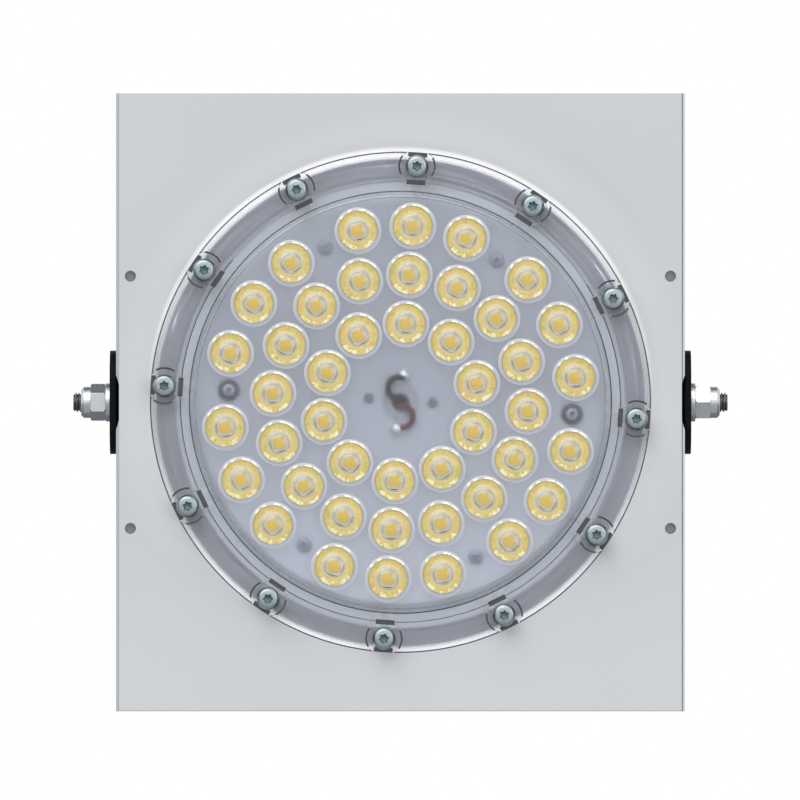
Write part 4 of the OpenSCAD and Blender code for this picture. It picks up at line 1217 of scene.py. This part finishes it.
class FLOODLIGHT_OT_pivot(bpy.types.Operator):
    """Build the threaded pivot studs and finish the discs, washers and lock nuts"""
    bl_idname = "floodlight.pivot"
    bl_label = "Tilt pivot"

    def execute(self, context):
        sizes = context.scene.floodlight_sizes
        bm = bmesh.new()
        for side in (1, -1):
            add_stud(bm, side, sizes.thread_pitch, sizes.thread_depth)
        stud = metal("Stud Zinc", shade(128, 132, 138), 0.25)
        new_piece("pivot_studs", close_mesh(bm, 50), [stud])
        finish_node("friction_discs", black_nylon(), sizes.metal_edge)
        finish_node("pivot_washers", zinc(), sizes.metal_edge)
        finish_node("lock_nuts", zinc(), sizes.metal_edge, segments=3)
        insert = moulded("Clear Nylon", shade(214, 218, 224), 0.4)
        finish_node("nut_inserts", insert, sizes.metal_edge / 2)
        return {"FINISHED"}


class FLOODLIGHT_OT_yoke(bpy.types.Operator):
    """Finish the black steel yoke"""
    bl_idname = "floodlight.yoke"
    bl_label = "Yoke"

    def execute(self, context):
        edge = context.scene.floodlight_sizes.yoke_edge
        colour = context.scene.floodlight_colours.yoke_paint
        coat = painted("Black Powder Coat", colour, 0.45, 1100.0, 0.2, spread=0.15, specular=0.08)
        finish_node("yoke", coat, edge, segments=3, body="yoke")
        return {"FINISHED"}


class FLOODLIGHT_OT_stage(bpy.types.Operator):
    """Set the floor, the light and the camera"""
    bl_idname = "floodlight.stage"
    bl_label = "Stage, light and camera"

    def execute(self, context):
        set_world()
        set_floor()
        set_lamps()
        set_camera(context.scene.floodlight_sizes.camera_distance)
        context.scene.view_settings.view_transform = "Standard"
        return {"FINISHED"}


def seen_first(tree):
    """1 for what the camera sees itself, in metal or through glass, before any matt surface."""
    path = add_node(tree, "ShaderNodeLightPath")
    direct = add_math("MAXIMUM", path["Is Camera Ray"], path["Is Glossy Ray"])
    direct = add_math("MAXIMUM", direct, path["Is Transmission Ray"])
    return multiply(direct, add_math("LESS_THAN", path["Diffuse Depth"], 0.5))


def set_world():
    world = bpy.data.worlds.new("Plain Room")
    bpy.context.scene.world = world
    world.use_nodes = True
    tree = world.node_tree
    room = tree.nodes["Background"]
    set_inputs(room, {"Color": (1, 1, 1), "Strength": ROOM_LIGHT})
    white = add_node(tree, "ShaderNodeBackground", {"Color": (1, 1, 1), "Strength": 1.0})
    mix_shaders(seen_first(tree), room.outputs[0], white[0], "World Output")


def stage_board(name, width, depth, material):
    """A flat board of the stage, facing up."""
    bm = bmesh.new()
    bmesh.ops.create_grid(bm, x_segments=1, y_segments=1, size=0.5)
    bm.transform(Matrix.Diagonal((width, depth, 1, 1)))
    board = link(bpy.data.objects.new(name, store_mesh(bm)))
    board.data.materials.append(material)
    return board


def set_floor():
    material, _, bsdf = blank_material("Pale Floor")
    set_inputs(bsdf, {"Base Color": (0.86, 0.86, 0.87), "Roughness": 0.9, "Specular IOR Level": 0.1})
    stage_board("floor", 14, 14, material).location = (0, -1.0, -0.5)


def aim_at(obj, place, aim):
    obj.location = place
    obj.rotation_euler = (Vector(aim) - Vector(place)).to_track_quat("-Z", "Y").to_euler()


def set_lamps():
    """Two lamps, and boards that only shiny and clear surfaces see, so that their edges read."""
    for name, place, width, height, watts in LAMPS:
        light = bpy.data.lights.new(name, "AREA")
        light.shape = "RECTANGLE"
        light.size = width
        light.size_y = height
        light.energy = watts
        aim_at(link(bpy.data.objects.new(name, light)), place, LIGHT_FACE)
    for name, place, width, height, aim, colour in CARDS:
        material, _, bsdf = blank_material(name)
        set_inputs(bsdf, {"Base Color": colour, "Specular IOR Level": 0.0})
        board = stage_board(name, width, height, material)
        aim_at(board, place, aim)
        board.visible_camera = False
        board.visible_diffuse = False
        board.visible_shadow = False


def set_camera(distance):
    camera = bpy.data.cameras.new("camera")
    camera.sensor_width = 36
    camera.lens = camera.sensor_width * distance / VIEW_WIDTH
    camera.clip_end = 60
    obj = link(bpy.data.objects.new("camera", camera))
    obj.location = (VIEW_X, FACE_Y - distance, VIEW_Z)
    obj.rotation_euler = (QUARTER, 0, 0)
    bpy.context.scene.camera = obj


OPERATORS = (
    FLOODLIGHT_OT_body, FLOODLIGHT_OT_light_board, FLOODLIGHT_OT_leads, FLOODLIGHT_OT_cover,
    FLOODLIGHT_OT_driver, FLOODLIGHT_OT_gland, FLOODLIGHT_OT_pivot, FLOODLIGHT_OT_yoke,
    FLOODLIGHT_OT_stage,
)


class FLOODLIGHT_PT_panel(bpy.types.Panel):
    """Lists the flood light's steps, sizes and colours"""
    bl_idname = "FLOODLIGHT_PT_panel"
    bl_label = "Flood light"
    bl_space_type = "VIEW_3D"
    bl_region_type = "UI"
    bl_category = "Flood light"

    def draw(self, context):
        for operator in OPERATORS:
            self.layout.operator(operator.bl_idname)
        for group in (context.scene.floodlight_sizes, context.scene.floodlight_colours):
            for field in group.bl_rna.properties:
                if field.identifier not in {"rna_type", "name"}:
                    self.layout.prop(group, field.identifier)


CLASSES = (FloodlightColours, FloodlightSizes, *OPERATORS, FLOODLIGHT_PT_panel)


def register():
    for entry in CLASSES:
        bpy.utils.register_class(entry)
    bpy.types.Scene.floodlight_colours = bpy.props.PointerProperty(type=FloodlightColours)
    bpy.types.Scene.floodlight_sizes = bpy.props.PointerProperty(type=FloodlightSizes)


def unregister():
    del bpy.types.Scene.floodlight_sizes
    del bpy.types.Scene.floodlight_colours
    for entry in reversed(CLASSES):
        bpy.utils.unregister_class(entry)


def main():
    register()
    bpy.ops.floodlight.body()
    bpy.ops.floodlight.light_board()
    bpy.ops.floodlight.leads()
    bpy.ops.floodlight.cover()
    bpy.ops.floodlight.driver()
    bpy.ops.floodlight.gland()
    bpy.ops.floodlight.pivot()
    bpy.ops.floodlight.yoke()
    bpy.ops.floodlight.stage()


if __name__ == "__main__":
    main()
